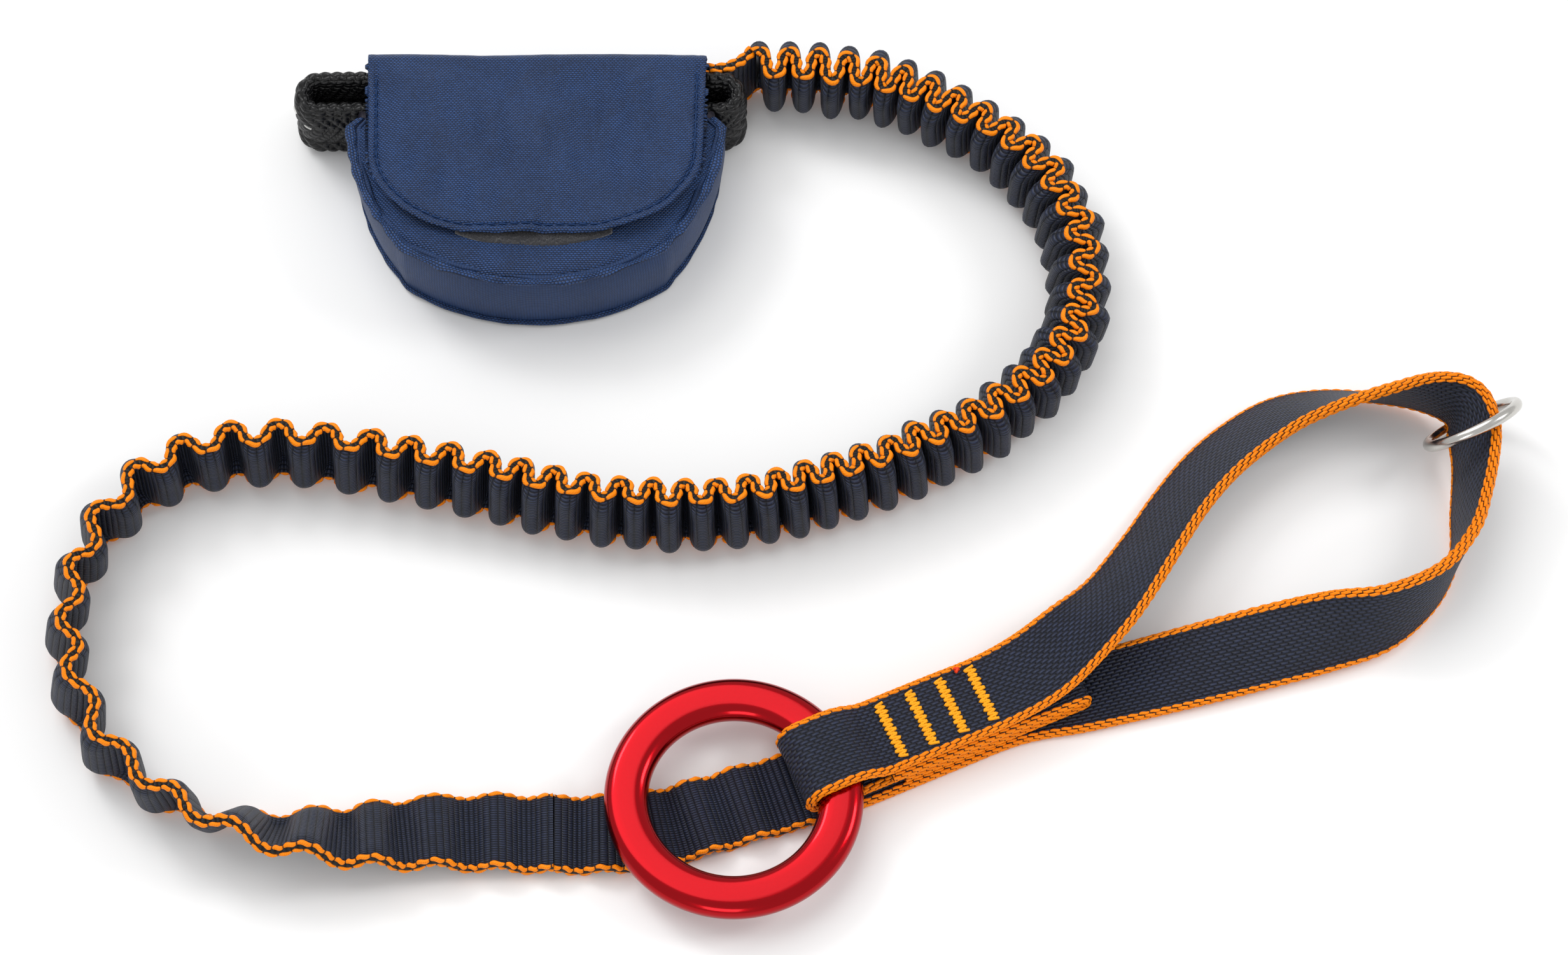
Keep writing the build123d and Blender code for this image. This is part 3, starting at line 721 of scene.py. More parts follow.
def on_stack(reach, across, height):
    """Places in the stack's own frame: reach along it, across it and up, in metres."""
    rows = np.broadcast_arrays(*(np.asarray(v, float)[..., None] for v in (reach, across, height)))
    return RING_CENTRE + rows[0] * STACK_AHEAD + rows[1] * STACK_ACROSS + rows[2] * UP


def stack_points(rows, across=0.0):
    """Places in the frame of rows (reach along the stack, height), in millimetres."""
    rows = np.asarray(rows, float) * MM
    return on_stack(rows[:, 0], across, rows[:, 1])


def even_line(rows, step):
    """A smooth curve through rows whose first three values are a place, with samples a step apart."""
    fine = smooth_rows(rows, len(rows) * 60)
    length = arc_length(fine[:, :3])
    at = np.linspace(0, length[-1], max(int(length[-1] / step), 8))
    return np.stack([np.interp(at, length, fine[:, k]) for k in range(fine.shape[1])], axis=1)


def leaning_frame(line, lean):
    """Width directions square to a line: level and to its left, turned up by lean."""
    ahead = tangents(line)
    level = unit(ahead * [1, 1, 0])
    left = np.stack([-level[:, 1], level[:, 0], np.zeros(len(level))], axis=1)
    wide = np.cos(lean)[:, None] * left + np.sin(lean)[:, None] * UP
    return ahead, unit(wide - ahead * np.sum(wide * ahead, axis=1, keepdims=True))


class LANYARD_OT_handle_webbing(bpy.types.Operator):
    """Add the flat webbing: base strap, handle loop and the stack's top layer, in one length"""

    bl_idname = "lanyard.handle_webbing"
    bl_label = "Base strap and handle"

    def execute(self, context):
        sizes = context.scene.lanyard_sizes
        rows = np.array(HANDLE, float)
        rows[:, :3] *= MM
        rows = even_line(rows, 0.55 * MM)
        line, lean = rows[:, :3], np.radians(rows[:, 3])
        ahead, wide = leaning_frame(line, lean)
        face = np.cross(ahead, wide)
        length = arc_length(line)
        # the stretch webbing's last pleats run on and die out before the stack
        height = np.interp(length / MM, [0, 20, 45, 60, 74], [1.3, 1.1, 1.3, 0.8, 0.0]) * MM
        pleats = 59.0 + np.interp(length / MM, [0, 74], [0.0, 5.6])
        waves = pleat_offset(face, ahead, pleats, height, 0 * height, sizes.webbing_width / 2, 11)
        cut = int(np.searchsorted(length, 80 * MM))
        width = sizes.webbing_width
        cup = np.clip((rows[:, 3] - 95) / 20, 0, 1) * 1.3 * MM

        def shape(a):
            share = 1 - np.abs(a[None, :] / (width / 2)) ** 2
            return waves(a) - face[:, None] * (cup[:, None] * share)[..., None]
        first, rest = slice(0, cut + 1), slice(cut, None)
        early = webbing_strip(sizes, line[first], wide[first], STRETCH_YARNS, lambda a: shape(a)[first])
        late = webbing_strip(sizes, line[rest], wide[rest], HANDLE_YARNS, lambda a: shape(a)[rest])
        early[0]["material"] = 2
        place_webbing("handle_webbing", early + late, ["handle", "stretch"], "base_strap", "handle_strap")
        return {"FINISHED"}


class LANYARD_OT_ring_wrap(bpy.types.Operator):
    """Add the fold of webbing that holds the anchor ring, bent at the first stitch row"""

    bl_idname = "lanyard.ring_wrap"
    bl_label = "Ring wrap"

    def execute(self, context):
        sizes = context.scene.lanyard_sizes
        turn = np.radians(np.linspace(80, 280, 9))
        fold = np.stack([23.6 + 5.2 * np.cos(turn), 9.7 + 5.25 * np.sin(turn)], axis=1)
        rows = [(46.0, 10.68), (42.5, 10.72), (39.5, 11.5), (36.5, 13.3), (33.0, 14.7), (28.5, 15.1)]
        rows = np.vstack([rows, fold, [(29, 4.5), (35, 4.5), (41, 4.5), (46.0, 4.5)]])
        line = even_line(stack_points(rows), 0.5 * MM)
        wide = np.broadcast_to(-STACK_ACROSS, line.shape)
        grids = webbing_strip(sizes, line, wide, HANDLE_YARNS)
        piece, yarns = webbing_pieces("ring_wrap_webbing", grids, ["handle"])
        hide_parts("ring_wrap")
        for part in (piece, yarns):
            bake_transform(part)
        return {"FINISHED"}


class LANYARD_OT_folded_tail(bpy.types.Operator):
    """Add the tail: the wrap's return layer, folded back on itself and cut beside the ring"""

    bl_idname = "lanyard.folded_tail"
    bl_label = "Folded tail"

    def execute(self, context):
        sizes = context.scene.lanyard_sizes
        turn = np.radians(np.linspace(-80, 80, 7))
        fold = np.stack([98.2 + 1.55 * np.cos(turn), 6.05 + 1.55 * np.sin(turn)], axis=1)
        rows = np.vstack([
            [(45.5, 4.5), (55, 4.5), (70, 4.5), (85, 4.5), (95, 4.5)], fold,
            [(95, 7.6), (85, 7.6), (70, 7.6), (55, 7.6), (45.5, 7.6), (42.0, 7.5)],
        ])
        line = even_line(stack_points(rows, -1.2 * MM), 0.5 * MM)
        wide = np.broadcast_to(STACK_ACROSS, line.shape)
        grids = webbing_strip(sizes, line, wide, HANDLE_YARNS)
        place_webbing("folded_tail_webbing", grids, ["handle"], "folded_tail")
        return {"FINISHED"}


class LANYARD_OT_end_tab(bpy.types.Operator):
    """Add the stretch webbing's flat end, on edge between the pouch and the first pleat"""

    bl_idname = "lanyard.end_tab"
    bl_label = "Webbing end tab"

    def execute(self, context):
        sizes = context.scene.lanyard_sizes
        rows = np.array([
            (38, 34.0, 13), (46, 34.0, 13), (53, 34.6, 12.6), (58, 37.6, 12), (61, 41.3, 11.4)
        ])
        line = even_line(rows * MM, 0.5 * MM)
        wide = np.broadcast_to(-UP, line.shape)
        grids = webbing_strip(sizes, line, wide, STRETCH_YARNS)
        place_webbing("webbing_end", grids, ["stretch"], "webbing_end_tab")
        return {"FINISHED"}


class LANYARD_OT_bar_tacks(bpy.types.Operator):
    """Add the four zigzag bar tacks across the stack and the thread's red end"""

    bl_idname = "lanyard.bar_tacks"
    bl_label = "Bar tacks"

    def execute(self, context):
        thread = context.scene.lanyard_sizes.thread
        top = 12.1 * MM + 0.4 * thread
        grids = []
        teeth, steps = np.arange(25), np.arange(60)
        side = np.where(teeth % 2 == 0, 1.0, -1.0)
        for i in range(4):
            reach = (46.4 + 9.0 * i) * MM
            zigzag = reach + side * 1.3 * MM + 0.25 * MM * np.sin(teeth * 1.7 + i)
            rows = on_stack(zigzag, np.linspace(-8.5, 8.5, 25) * MM, top)
            grids.append(tube(even_line(rows, 0.35 * MM), thread * 1.25, 8))
            height = top - 0.1 * MM + 0.1 * MM * np.sin(steps * 1.3)
            for shift in (-0.45 * MM, 0.45 * MM):
                bar = on_stack(reach + shift, np.linspace(-8.3, 8.3, 60) * MM, height)
                grids.append(tube(bar, thread, 6))
        turn = np.linspace(0, 3 * pi, 26)
        knot = np.stack([turn * 0.12 * MM, 0.55 * MM * np.sin(turn), 0.35 * MM * np.cos(turn)], axis=1)
        knot += on_stack(69.5 * MM, 9.2 * MM, top + 0.2 * MM)
        grids.append(tube(knot, 0.42 * MM, 8, material=1))
        piece = make_piece("bar_tack_threads", grids, [material("tack"), material("knot")])
        place(piece, "lanyard", "bartack_thread", "handle_bartacks")
        return {"FINISHED"}


# ---------------------------------------------------------------- rings


def ring_grid(centre, normal, radius, a, b, count):
    """A section (a outwards, b along the normal) carried round a circle of a radius."""
    normal = np.asarray(normal, float) / np.linalg.norm(normal)
    one = np.cross(normal, [0, 0, 1.0] if abs(normal[2]) < 0.9 else [1.0, 0, 0])
    one /= np.linalg.norm(one)
    two = np.cross(normal, one)
    turn = np.linspace(0, 2 * pi, count, endpoint=False)
    out = np.cos(turn)[:, None] * one + np.sin(turn)[:, None] * two
    points = np.asarray(centre) + out[:, None] * (radius + a)[None, :, None] + normal * b[None, :, None]
    uv = np.stack(np.broadcast_arrays(turn[:, None] * radius, a[None, :]), axis=-1)
    return grid(points, uv, 0, round_u=True, round_v=True)


class LANYARD_OT_anchor_ring(bpy.types.Operator):
    """Add the anchor ring: flat faces with full round edges, turned about its middle"""

    bl_idname = "lanyard.anchor_ring"
    bl_label = "Anchor ring"

    def execute(self, context):
        sizes = context.scene.lanyard_sizes
        low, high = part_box("anchor_ring")
        middle = [(low[k] + high[k]) / 2 for k in range(3)]
        a, b, _, _ = section(sizes.ring_outer - sizes.ring_inner, sizes.ring_height, 7, 15)
        flat_face = np.abs(b) > sizes.ring_height * 0.49
        crown = 0.10 * MM * (1 - (a / np.abs(a).max()) ** 2) * np.sign(b) * flat_face
        radius = (sizes.ring_outer + sizes.ring_inner) / 2
        ring = ring_grid(middle, (0, 0, 1), radius, a, b + crown, 256)
        piece = make_piece("red_anchor_ring", [ring], [material("red")])
        place(piece, "anchor_ring", "anchor_ring", "anchor_ring")
        return {"FINISHED"}


class LANYARD_OT_tip_ring(bpy.types.Operator):
    """Add the steel ring that runs on the handle: round wire bent to a circle"""

    bl_idname = "lanyard.tip_ring"
    bl_label = "Tip ring"

    def execute(self, context):
        sizes = context.scene.lanyard_sizes
        turn = np.linspace(0, 2 * pi, 24, endpoint=False)
        a, b = sizes.tip_wire * np.cos(turn), sizes.tip_wire * np.sin(turn)
        centre = np.array([260.72, -75.68, 15.1]) * MM
        grids = [ring_grid(centre, (-0.438, 0.747, 0.501), sizes.tip_ring, a, b, 160)]
        piece = make_piece("steel_tip_ring", grids, [material("steel")])
        place(piece, "tip_ring", "tip_ring", "tip_ring")
        return {"FINISHED"}


# ---------------------------------------------------------------- pouch

PORT_LOW = 16.0 * MM
CLOTH = 1.2 * MM


def circle_through(a, b, c):
    """Centre and radius of the circle through three points in a plane."""
    rows = 2 * np.array([b - a, c - a])
    centre = np.linalg.solve(rows, np.array([b @ b - a @ a, c @ c - a @ a]))
    return centre, np.linalg.norm(a - centre)


def arc_points(centre, radius, start, end, count):
    """Points on a circle from start to end, the short way round."""
    spokes = np.array([start, end]) - centre
    angles = np.unwrap(np.arctan2(spokes[:, 1], spokes[:, 0]))
    turn = np.linspace(angles[0], angles[1], count)
    return centre + radius * np.stack([np.cos(turn), np.sin(turn)], axis=1)


def pouch_rim(count):
    """The pouch's outline from its top right corner round the bottom to its top left, and the
    outward directions: two side arcs, two 16 mm corners and a bottom arc, evenly sampled."""
    side_centre, side_radius = circle_through(*np.array([[49, 35.5], [54, 14], [38, -24.0]]))
    low_centre, low_radius = circle_through(*np.array([[38, -24.0], [0, -35.5], [-38, -24.0]]))
    gap = low_centre - side_centre
    far = np.linalg.norm(gap)
    r1, r2 = side_radius - 16, low_radius - 16
    reach = (r1**2 - r2**2 + far**2) / (2 * far)
    normal = np.array([gap[1], -gap[0]]) / far
    corners = [side_centre + gap / far * reach + s * normal * np.sqrt(r1**2 - reach**2) for s in (-1, 1)]
    corner = min(corners, key=lambda c: np.linalg.norm(c - [34, -16]))
    one = side_centre + (corner - side_centre) / r1 * side_radius
    two = low_centre + (corner - low_centre) / r2 * low_radius
    right = np.vstack([
        arc_points(side_centre, side_radius, np.array([49, 35.5]), one, 120)[:-1],
        arc_points(corner, 16, one, two, 60)[:-1],
        arc_points(low_centre, low_radius, two, np.array([0, -35.5]), 80),
    ])
    rim = np.vstack([right, right[-2::-1] * [-1, 1]]) * MM
    rim = along(rim, np.linspace(0, arc_length(rim)[-1], count))
    ahead = tangents(rim)
    return rim, np.stack([-ahead[:, 1], ahead[:, 0]], axis=1)


def tucked(rim, out, height):
    """How far the pouch's wall lies inside its outline, in metres: the sides taper in towards the
    floor and towards the bottom corners, and hide under the flap beside the ports."""
    side = np.abs(out[:, 0]) ** 3
    drop = np.clip((30 * MM - rim[:, 1]) / (60 * MM), 0, 1)
    port = np.clip((rim[:, 1] - 14 * MM) / (6 * MM), 0, 1)
    side, drop, port = side[:, None], drop[:, None], port[:, None]
    low = 1 - np.clip(height / (25 * MM), 0, 1)
    taper = 1.2 + 3.0 * drop + 2.6 * low**1.3 * (0.5 + 0.2 * drop)
    return MM * side * (taper + 5.0 * port * (1 - low))


def wander(count, step, seed, low, high):
    """A smooth random row of values between low and high, with a fresh value every step samples."""
    rng = np.random.default_rng(seed)
    knots = rng.uniform(low, high, max(int(count / step), 3) + 2)
    return smooth_rows(knots[:, None], count)[:, 0]


def hills(points, seed, scale, count=9):
    """Gentle uneven swell from -1 to 1: the mean of sines whose directions and phases are random
    and whose wavelengths lie near scale."""
    rng = np.random.default_rng(seed)
    total = 0
    for _ in range(count):
        angle, phase = rng.uniform(0, 2 * pi, 2)
        wave = 2 * pi / (scale * rng.uniform(0.7, 1.6))
        total = total + np.sin(wave * (points[..., 0] * cos(angle) + points[..., 1] * sin(angle)) + phase)
    return total / count * 1.6


def coons(bottom, right, top, left):
    """Grid between four edge curves: the sum of the two ruled grids less the corners' own. bottom
    and top run left to right; left and right run from bottom to top."""
    u = np.linspace(0, 1, len(bottom))[None, :, None]
    v = np.linspace(0, 1, len(left))[:, None, None]
    ruled = (1 - v) * bottom[None] + v * top[None] + (1 - u) * left[:, None] + u * right[:, None]
    corner = (1 - v) * ((1 - u) * bottom[0] + u * bottom[-1]) + v * ((1 - u) * top[0] + u * top[-1])
    return ruled - corner


def panel_grid(rim, side_count, low_count):
    """The panel inside a rim that runs down its right side, along the bottom and up its left: the
    rim is cut at 0.32 and 0.68 of its samples and the four edges make a Coons patch."""
    first, second = int(len(rim) * 0.32), int(len(rim) * 0.68)
    edges = []
    for part, count in (
        (rim[: first + 1], side_count), (rim[first : second + 1][::-1], low_count), (rim[second:], side_count)
    ):
        edges.append(along(part, np.linspace(0, arc_length(part)[-1], count)))
    right, low, left = edges[0][::-1], edges[1], edges[2]
    return coons(low, right, np.linspace(left[-1], right[-1], low_count), left)


def nearest(points, line):
    """Distance of each point of a grid from the nearest of a row of points, and that one's number."""
    flat = points.reshape(-1, 1, 2)
    far = np.concatenate([
        np.stack([d.min(1), d.argmin(1)], axis=1)
        for d in (np.linalg.norm(part - line[None], axis=2) for part in np.array_split(flat, 24))
    ])
    return far[:, 0].reshape(points.shape[:2]), far[:, 1].astype(int).reshape(points.shape[:2])


def thicken(piece, thickness):
    """Gives an open cloth its thickness, inwards from the side that shows."""
    solid = piece.modifiers.new("Cloth thickness", "SOLIDIFY")
    solid.thickness = thickness
    solid.offset = -1
    solid.use_even_offset = False
    return piece


class LANYARD_OT_front_panel(bpy.types.Operator):
    """Add the pouch's front panel, drawn in by its seam and pushed up by the pack inside"""

    bl_idname = "lanyard.front_panel"
    bl_label = "Pouch front panel"

    def execute(self, context):
        rim, out = pouch_rim(601)
        rim = rim - out * tucked(rim, out, 24.5 * MM)
        flat = panel_grid(rim, 150, 200)
        far, where = nearest(flat, rim)
        run = arc_length(rim)[where]
        pucker = 0.5 * np.sin(run / (5.2 * MM) + 2.2 * np.sin(run / (31 * MM)))
        pucker = pucker + 0.4 * np.sin(run / (2.9 * MM) + 1.5 * np.sin(run / (17 * MM)))
        rise = 3.4 * MM * (1 - np.exp(-far / (3.6 * MM)))
        z = 23.3 * MM + rise - 0.135 * MM * np.exp(-(((far - 7.5 * MM) / (7 * MM)) ** 2))
        z += 0.8 * MM * pucker * np.exp(-far / (3.6 * MM))
        z += 0.6 * MM * hills(flat, 3, 22 * MM) * (1 - np.exp(-far / (4 * MM)))
        # the panel lies lower where the flap and the patches cover it
        under = np.clip((flat[..., 1] + 26 * MM) / (8 * MM), 0, 1)
        z -= under * np.clip(z - 25.4 * MM, 0, None)
        points = np.concatenate([flat, z[..., None]], axis=2)
        piece = make_piece("pouch_front", [grid(points, flat)], [material("nylon")], up=True)
        thicken(piece, 0.8 * MM)
        place(piece, "lanyard", "pouch_nylon", "pouch_front_panel")
        return {"FINISHED"}


class LANYARD_OT_back_panel(bpy.types.Operator):
    """Add the pouch's flat back panel, which lies on the floor inside the lower seam"""

    bl_idname = "lanyard.back_panel"
    bl_label = "Pouch back panel"

    def execute(self, context):
        rim, out = pouch_rim(400)
        rim = rim - out * (tucked(rim, out, np.array([[0.0]])) + 0.3 * MM)
        flat = panel_grid(rim, 50, 60)
        z = 1.1 * MM + 0.12 * MM * hills(flat, 8, 20 * MM)
        points = np.concatenate([flat, z[..., None]], axis=2)
        piece = make_piece("pouch_back", [grid(points, flat)], [material("nylon")], up=True)
        thicken(piece, 0.8 * MM)
        place(piece, "lanyard", "pouch_nylon", "pouch_back_panel")
        return {"FINISHED"}


def rim_section(rim, out, across, z, name, material_name):
    """A closed section carried along the rim: across is each point's reach outwards, z its height."""
    height = np.broadcast_to(z[..., None], (*across.shape, 1))
    points = np.concatenate([rim[:, None] + out[:, None] * across[..., None], height], axis=2)
    around = np.concatenate([[0], np.cumsum(np.hypot(np.diff(across[0]), np.diff(z[0])))])
    uv = np.stack(np.broadcast_arrays(arc_length(rim)[:, None], around[None, :]), axis=-1)
    return make_piece(name, [grid(points, uv, round_v=True, caps=True)], [material(material_name)])


def below_ports(rim, out, top):
    """The part of the rim below the ports."""
    keep = rim[:, 1] <= top
    return rim[keep], out[keep]


class LANYARD_OT_gusset(bpy.types.Operator):
    """Add the gusset: the ribbed wall round the pouch's sides and bottom, bulged by its load"""

    bl_idname = "lanyard.gusset"
    bl_label = "Pouch gusset"

    def execute(self, context):
        rim, out = below_ports(*pouch_rim(900), PORT_LOW + 2 * MM)
        run = arc_length(rim)[:, None]
        z = np.linspace(0.5, 24.6, 44)[None, :] * MM
        share = np.sin(pi * z / (25 * MM))
        waves = 0.6 * MM * np.sin(run / (6.5 * MM) + 3 * np.sin(run / (40 * MM)))
        waves = waves + 0.25 * MM * np.sin(run / (3.1 * MM) + 2 * np.sin(run / (23 * MM)))
        near_seam = np.exp(-(24.6 * MM - z) / (4.5 * MM))
        bulge = (1.3 * MM + 0.5 * MM * np.sin(run / (27 * MM) + 1)) * share
        outside = bulge + waves * near_seam + 0.15 * MM * np.sin(run / (17 * MM) + z / (5 * MM)) * share
        outside = outside - 0.9 * MM * near_seam**2 - tucked(rim, out, z)
        inside = outside[:, ::-1] - CLOTH
        across = np.concatenate([outside, inside], axis=1)
        heights = np.concatenate([z, z[:, ::-1]], axis=1)
        across, heights = np.broadcast_arrays(across, heights)
        piece = rim_section(rim, out, across, heights, "pouch_gusset_wall", "gusset")
        place(piece, "lanyard", "pouch_nylon", "pouch_gusset")
        return {"FINISHED"}


class LANYARD_OT_seam_rolls(bpy.types.Operator):
    """Add the two puckered seam rolls that join the gusset to the front and back panels"""

    bl_idname = "lanyard.seam_rolls"
    bl_label = "Pouch seam rolls"

    def execute(self, context):
        rim, out = below_ports(*pouch_rim(1000), PORT_LOW + 1.5 * MM)
        run = arc_length(rim)[:, None]
        turn = np.linspace(0, 2 * pi, 18, endpoint=False)[None, :]
        rows = [
            ("pouch_front_seam", "front_seam_binding", 24.6, 0.5, 1.5, 31),
            ("pouch_back_seam", "back_seam_binding", 1.5, 0.3, 0.5, 37),
        ]
        for name, node, height, reach, size, seed in rows:
            count = len(rim)
            roll = size * wander(count, 26, seed, -0.5, 0.5)[:, None]
            fat = 1 + 0.22 * size * wander(count, 15, seed + 1, -1, 1)[:, None]
            lift = size * wander(count, 20, seed + 2, -0.5, 0.5)[:, None] * MM
            flat = 0.75 + 0.2 * np.cos(2 * turn)
            inset = tucked(rim, out, np.array([[height * MM]]))
            across = reach * MM + 1.35 * MM * fat * flat * np.cos(turn + roll) + 0.3 * lift - inset
            z = height * MM + 1.1 * MM * fat * flat * np.sin(turn + roll) + 0.55 * lift
            z = z + 0.18 * MM * np.sin(run / (0.95 * MM)) * np.exp(-((turn - pi / 2) ** 2))
            z = np.maximum(z, 0.15 * MM)
            piece = rim_section(rim, out, across, z, name, "nylon")
            place(piece, "lanyard", "pouch_nylon", node)
        return {"FINISHED"}


class LANYARD_OT_port_bindings(bpy.types.Operator):
    """Add the dark tapes that bind the gusset's upper ends at the two side ports"""

    bl_idname = "lanyard.port_bindings"
    bl_label = "Port bindings"

    def execute(self, context):
        rim, out = pouch_rim(900)
        t = np.linspace(0, 1, 60)
        for side, name in ((1, "right"), (-1, "left")):
            far = np.abs(rim[:, 1] - PORT_LOW - 1.2 * MM) + np.where(rim[:, 0] * side > 0, 0, 1)
            near = slice(np.argmin(far), np.argmin(far) + 1)
            inset = tucked(rim[near], out[near], (1.6 + 22.8 * t)[None, :] * MM)[0]
            reach = 0.2 * MM + 1.2 * MM * np.sin(pi * t) + 0.25 * MM * np.sin(t * 19) - inset
            line = np.stack([
                rim[near][0, 0] + out[near][0, 0] * (reach - 0.4 * MM),
                rim[near][0, 1] + 0.6 * MM * np.sin(t * 7 + 1),
                (1.6 + 22.8 * t) * MM,
            ], axis=1)
            strip = tube(line, 1.0, 20)
            ring = (strip["points"] - line[:, None]) * np.array([1.1, 1.7, 0.6]) * MM
            strip["points"] = line[:, None] + ring
            piece = make_piece(f"pouch_{name}_port_tape", [strip], [material("binding")])
            place(piece, "lanyard", "pouch_binding", f"{name}_port_binding")
        return {"FINISHED"}


class LANYARD_OT_rear_wall(bpy.types.Operator):
    """Add the low wall below the flap's hinge line, on the pouch's straight side"""

    bl_idname = "lanyard.rear_wall"
    bl_label = "Pouch rear wall"

    def execute(self, context):
        low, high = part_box("pouch_rear_wall")
        x = np.linspace(low[0], high[0], 140)
        z = np.linspace(low[2] + 0.2 * MM, high[2], 20)
        x, z = np.meshgrid(x, z, indexing="ij")
        bulge = 0.35 * MM * np.sin(pi * z / high[2]) * (1 + 0.6 * np.sin(x / (9 * MM)))
        y = high[1] - 0.1 * MM + bulge
        points = np.stack([x, y, z], axis=-1)
        back = np.stack([x, y - CLOTH, z], axis=-1)[:, ::-1]
        closed = np.concatenate([points, back], axis=1)
        uv = np.stack([closed[..., 0], closed[..., 2]], axis=-1)
        piece = make_piece("pouch_rear", [grid(closed, uv, round_v=True, caps=True)], [material("nylon")])
        place(piece, "lanyard", "pouch_nylon", "pouch_rear_wall")
        return {"FINISHED"}


class LANYARD_OT_loop_patch(bpy.types.Operator):
    """Add the touch fastener's loop side, a fuzzy patch sewn to the front panel"""

    bl_idname = "lanyard.loop_patch"
    bl_label = "Loop patch"

    def execute(self, context):
        low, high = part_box("loop_patch")
        x = np.linspace(low[0], high[0], 150)
        y = np.linspace(low[1], high[1], 60)
        x, y = np.meshgrid(x, y, indexing="ij")
        half = (high[0] - low[0]) / 2
        sag = (np.abs(x) / half) ** 2.4 * 4.2 * MM
        y = low[1] + sag + (y - low[1]) * (1 - sag / (high[1] - low[1]))
        rng = np.random.default_rng(5)
        fuzz = 0.16 * MM * rng.standard_normal(x.shape)
        edge = np.minimum(np.minimum(y - low[1] - sag, high[1] - y), half - np.abs(x))
        height = (high[2] - low[2]) * (1 - np.exp(-edge / (0.25 * MM)))
        z = low[2] + 0.05 * MM + height + fuzz * (edge > 0.3 * MM)
        drop = np.clip((-22.2 * MM - y) / (4 * MM), 0, 1) ** 1.5 * 0.5 * MM
        points = np.stack([x, y, z - drop], axis=-1)
        piece = make_piece("loop_pile_patch", [grid(points, points[..., :2])], [material("pile")], up=True)
        thicken(piece, 0.5 * MM)
        place(piece, "lanyard", "loop_tape", "loop_patch")
        return {"FINISHED"}


# ---------------------------------------------------------------- flap

FLAP_HALF = 48.0 * MM
FLAP_LOW = -22.0 * MM
FLAP_CORNER = 34.0 * MM
FLAP_RISE = 27.0 * MM
HINGE_Y = 36.1 * MM
HINGE_Z = 14.0 * MM
FLAP_TOP = 28.9 * MM  # height of the flap's upper face before its swells
FLAP_BEND = 3.2 * MM  # radius of the turn over the top edge
FLAP_REAR = FLAP_TOP - FLAP_BEND - HINGE_Z  # cloth between the hinge line and the turn
EDGE_STEP = 0.3 * MM  # spacing of the samples of the flap's free edge


def flap_half(y):
    """The flap's half width at a height: 48 mm at the hinge, 3 % less at the hem."""
    return FLAP_HALF * (1 - 0.03 * np.clip((HINGE_Y - y) / (58 * MM), 0, 1))


def flap_edge():
    """The flap's free edge from its right upper corner down, round the hem and up to its left. Its
    lower corners are quarter ellipses."""
    turn = np.linspace(0, pi / 2, 90)
    corner = np.stack([np.cos(turn) * FLAP_CORNER, -np.sin(turn) * FLAP_RISE], axis=1)
    middle = [FLAP_HALF - FLAP_CORNER, FLAP_LOW + FLAP_RISE]
    side = np.stack([np.full(30, FLAP_HALF), np.linspace(HINGE_Y, middle[1], 30)], axis=1)
    right = np.vstack([side[:-1], corner + middle, [[0, FLAP_LOW]]])
    edge = np.vstack([right, right[-2::-1] * [-1, 1]])
    edge[:, 0] *= flap_half(edge[:, 1]) / FLAP_HALF
    return along(edge, np.arange(0, arc_length(edge)[-1], EDGE_STEP))


def flap_height(flat, far, run):
    """Height of the flap's upper face: a plane with gentle swells, a drooped and puckered hem, a
    puffed turning and a groove where the topstitching pulls it down."""
    x, y = flat[..., 0], flat[..., 1]
    z = FLAP_TOP + 2.0 * MM * hills(flat * [1, 0.4], 21, 26 * MM)
    z += 0.5 * MM * hills(flat * [1, 0.6], 22, 9 * MM)
    z += 0.5 * MM * np.exp(-((x / (30 * MM)) ** 2) - ((y - 8 * MM) / (20 * MM)) ** 2)
    z -= 1.3 * MM * np.clip((np.abs(x) - 36 * MM) / (12 * MM), 0, 1) ** 2
    pucker = np.sin(run / (2.3 * MM) + 2.4 * np.sin(run / (19 * MM)))
    pucker = pucker + 0.7 * np.sin(run / (4.1 * MM) + 1.9 * np.sin(run / (27 * MM)))
    z += 0.30 * MM * pucker * np.exp(-far / (3.0 * MM))
    low = np.clip((-y - 6 * MM) / (16 * MM), 0, 1)
    z -= 0.9 * MM * low * np.exp(-far / (3.5 * MM)) * (0.6 + 0.4 * np.sin(run / (13 * MM) + 1))
    groove = np.exp(-(((far - 2.4 * MM) / (0.6 * MM)) ** 2))
    z -= 0.55 * MM * groove * (0.75 + 0.25 * np.sin(run * 2 * pi / (3.2 * MM)))
    z += 0.30 * MM * np.sin(pi * np.clip(far / (2.2 * MM), 0, 1))
    z -= 0.35 * MM * np.clip(1 - far / (0.5 * MM), 0, 1) ** 2
    return z


def flap_point(path):
    """A place on the flap by its distance along the cloth from the hinge line: up the rear face,
    round the top edge in a bend, then down the front. Gives y, z and the run beyond the bend."""
    turn = np.clip((path - FLAP_REAR) / FLAP_BEND, 0, pi / 2)
    beyond = np.clip(path - FLAP_REAR - FLAP_BEND * pi / 2, 0, None)
    y = HINGE_Y + 0.6 * MM - FLAP_BEND + FLAP_BEND * np.cos(turn) - beyond
    z = HINGE_Z + np.minimum(path, FLAP_REAR) + FLAP_BEND * np.sin(turn)
    return y, z, beyond


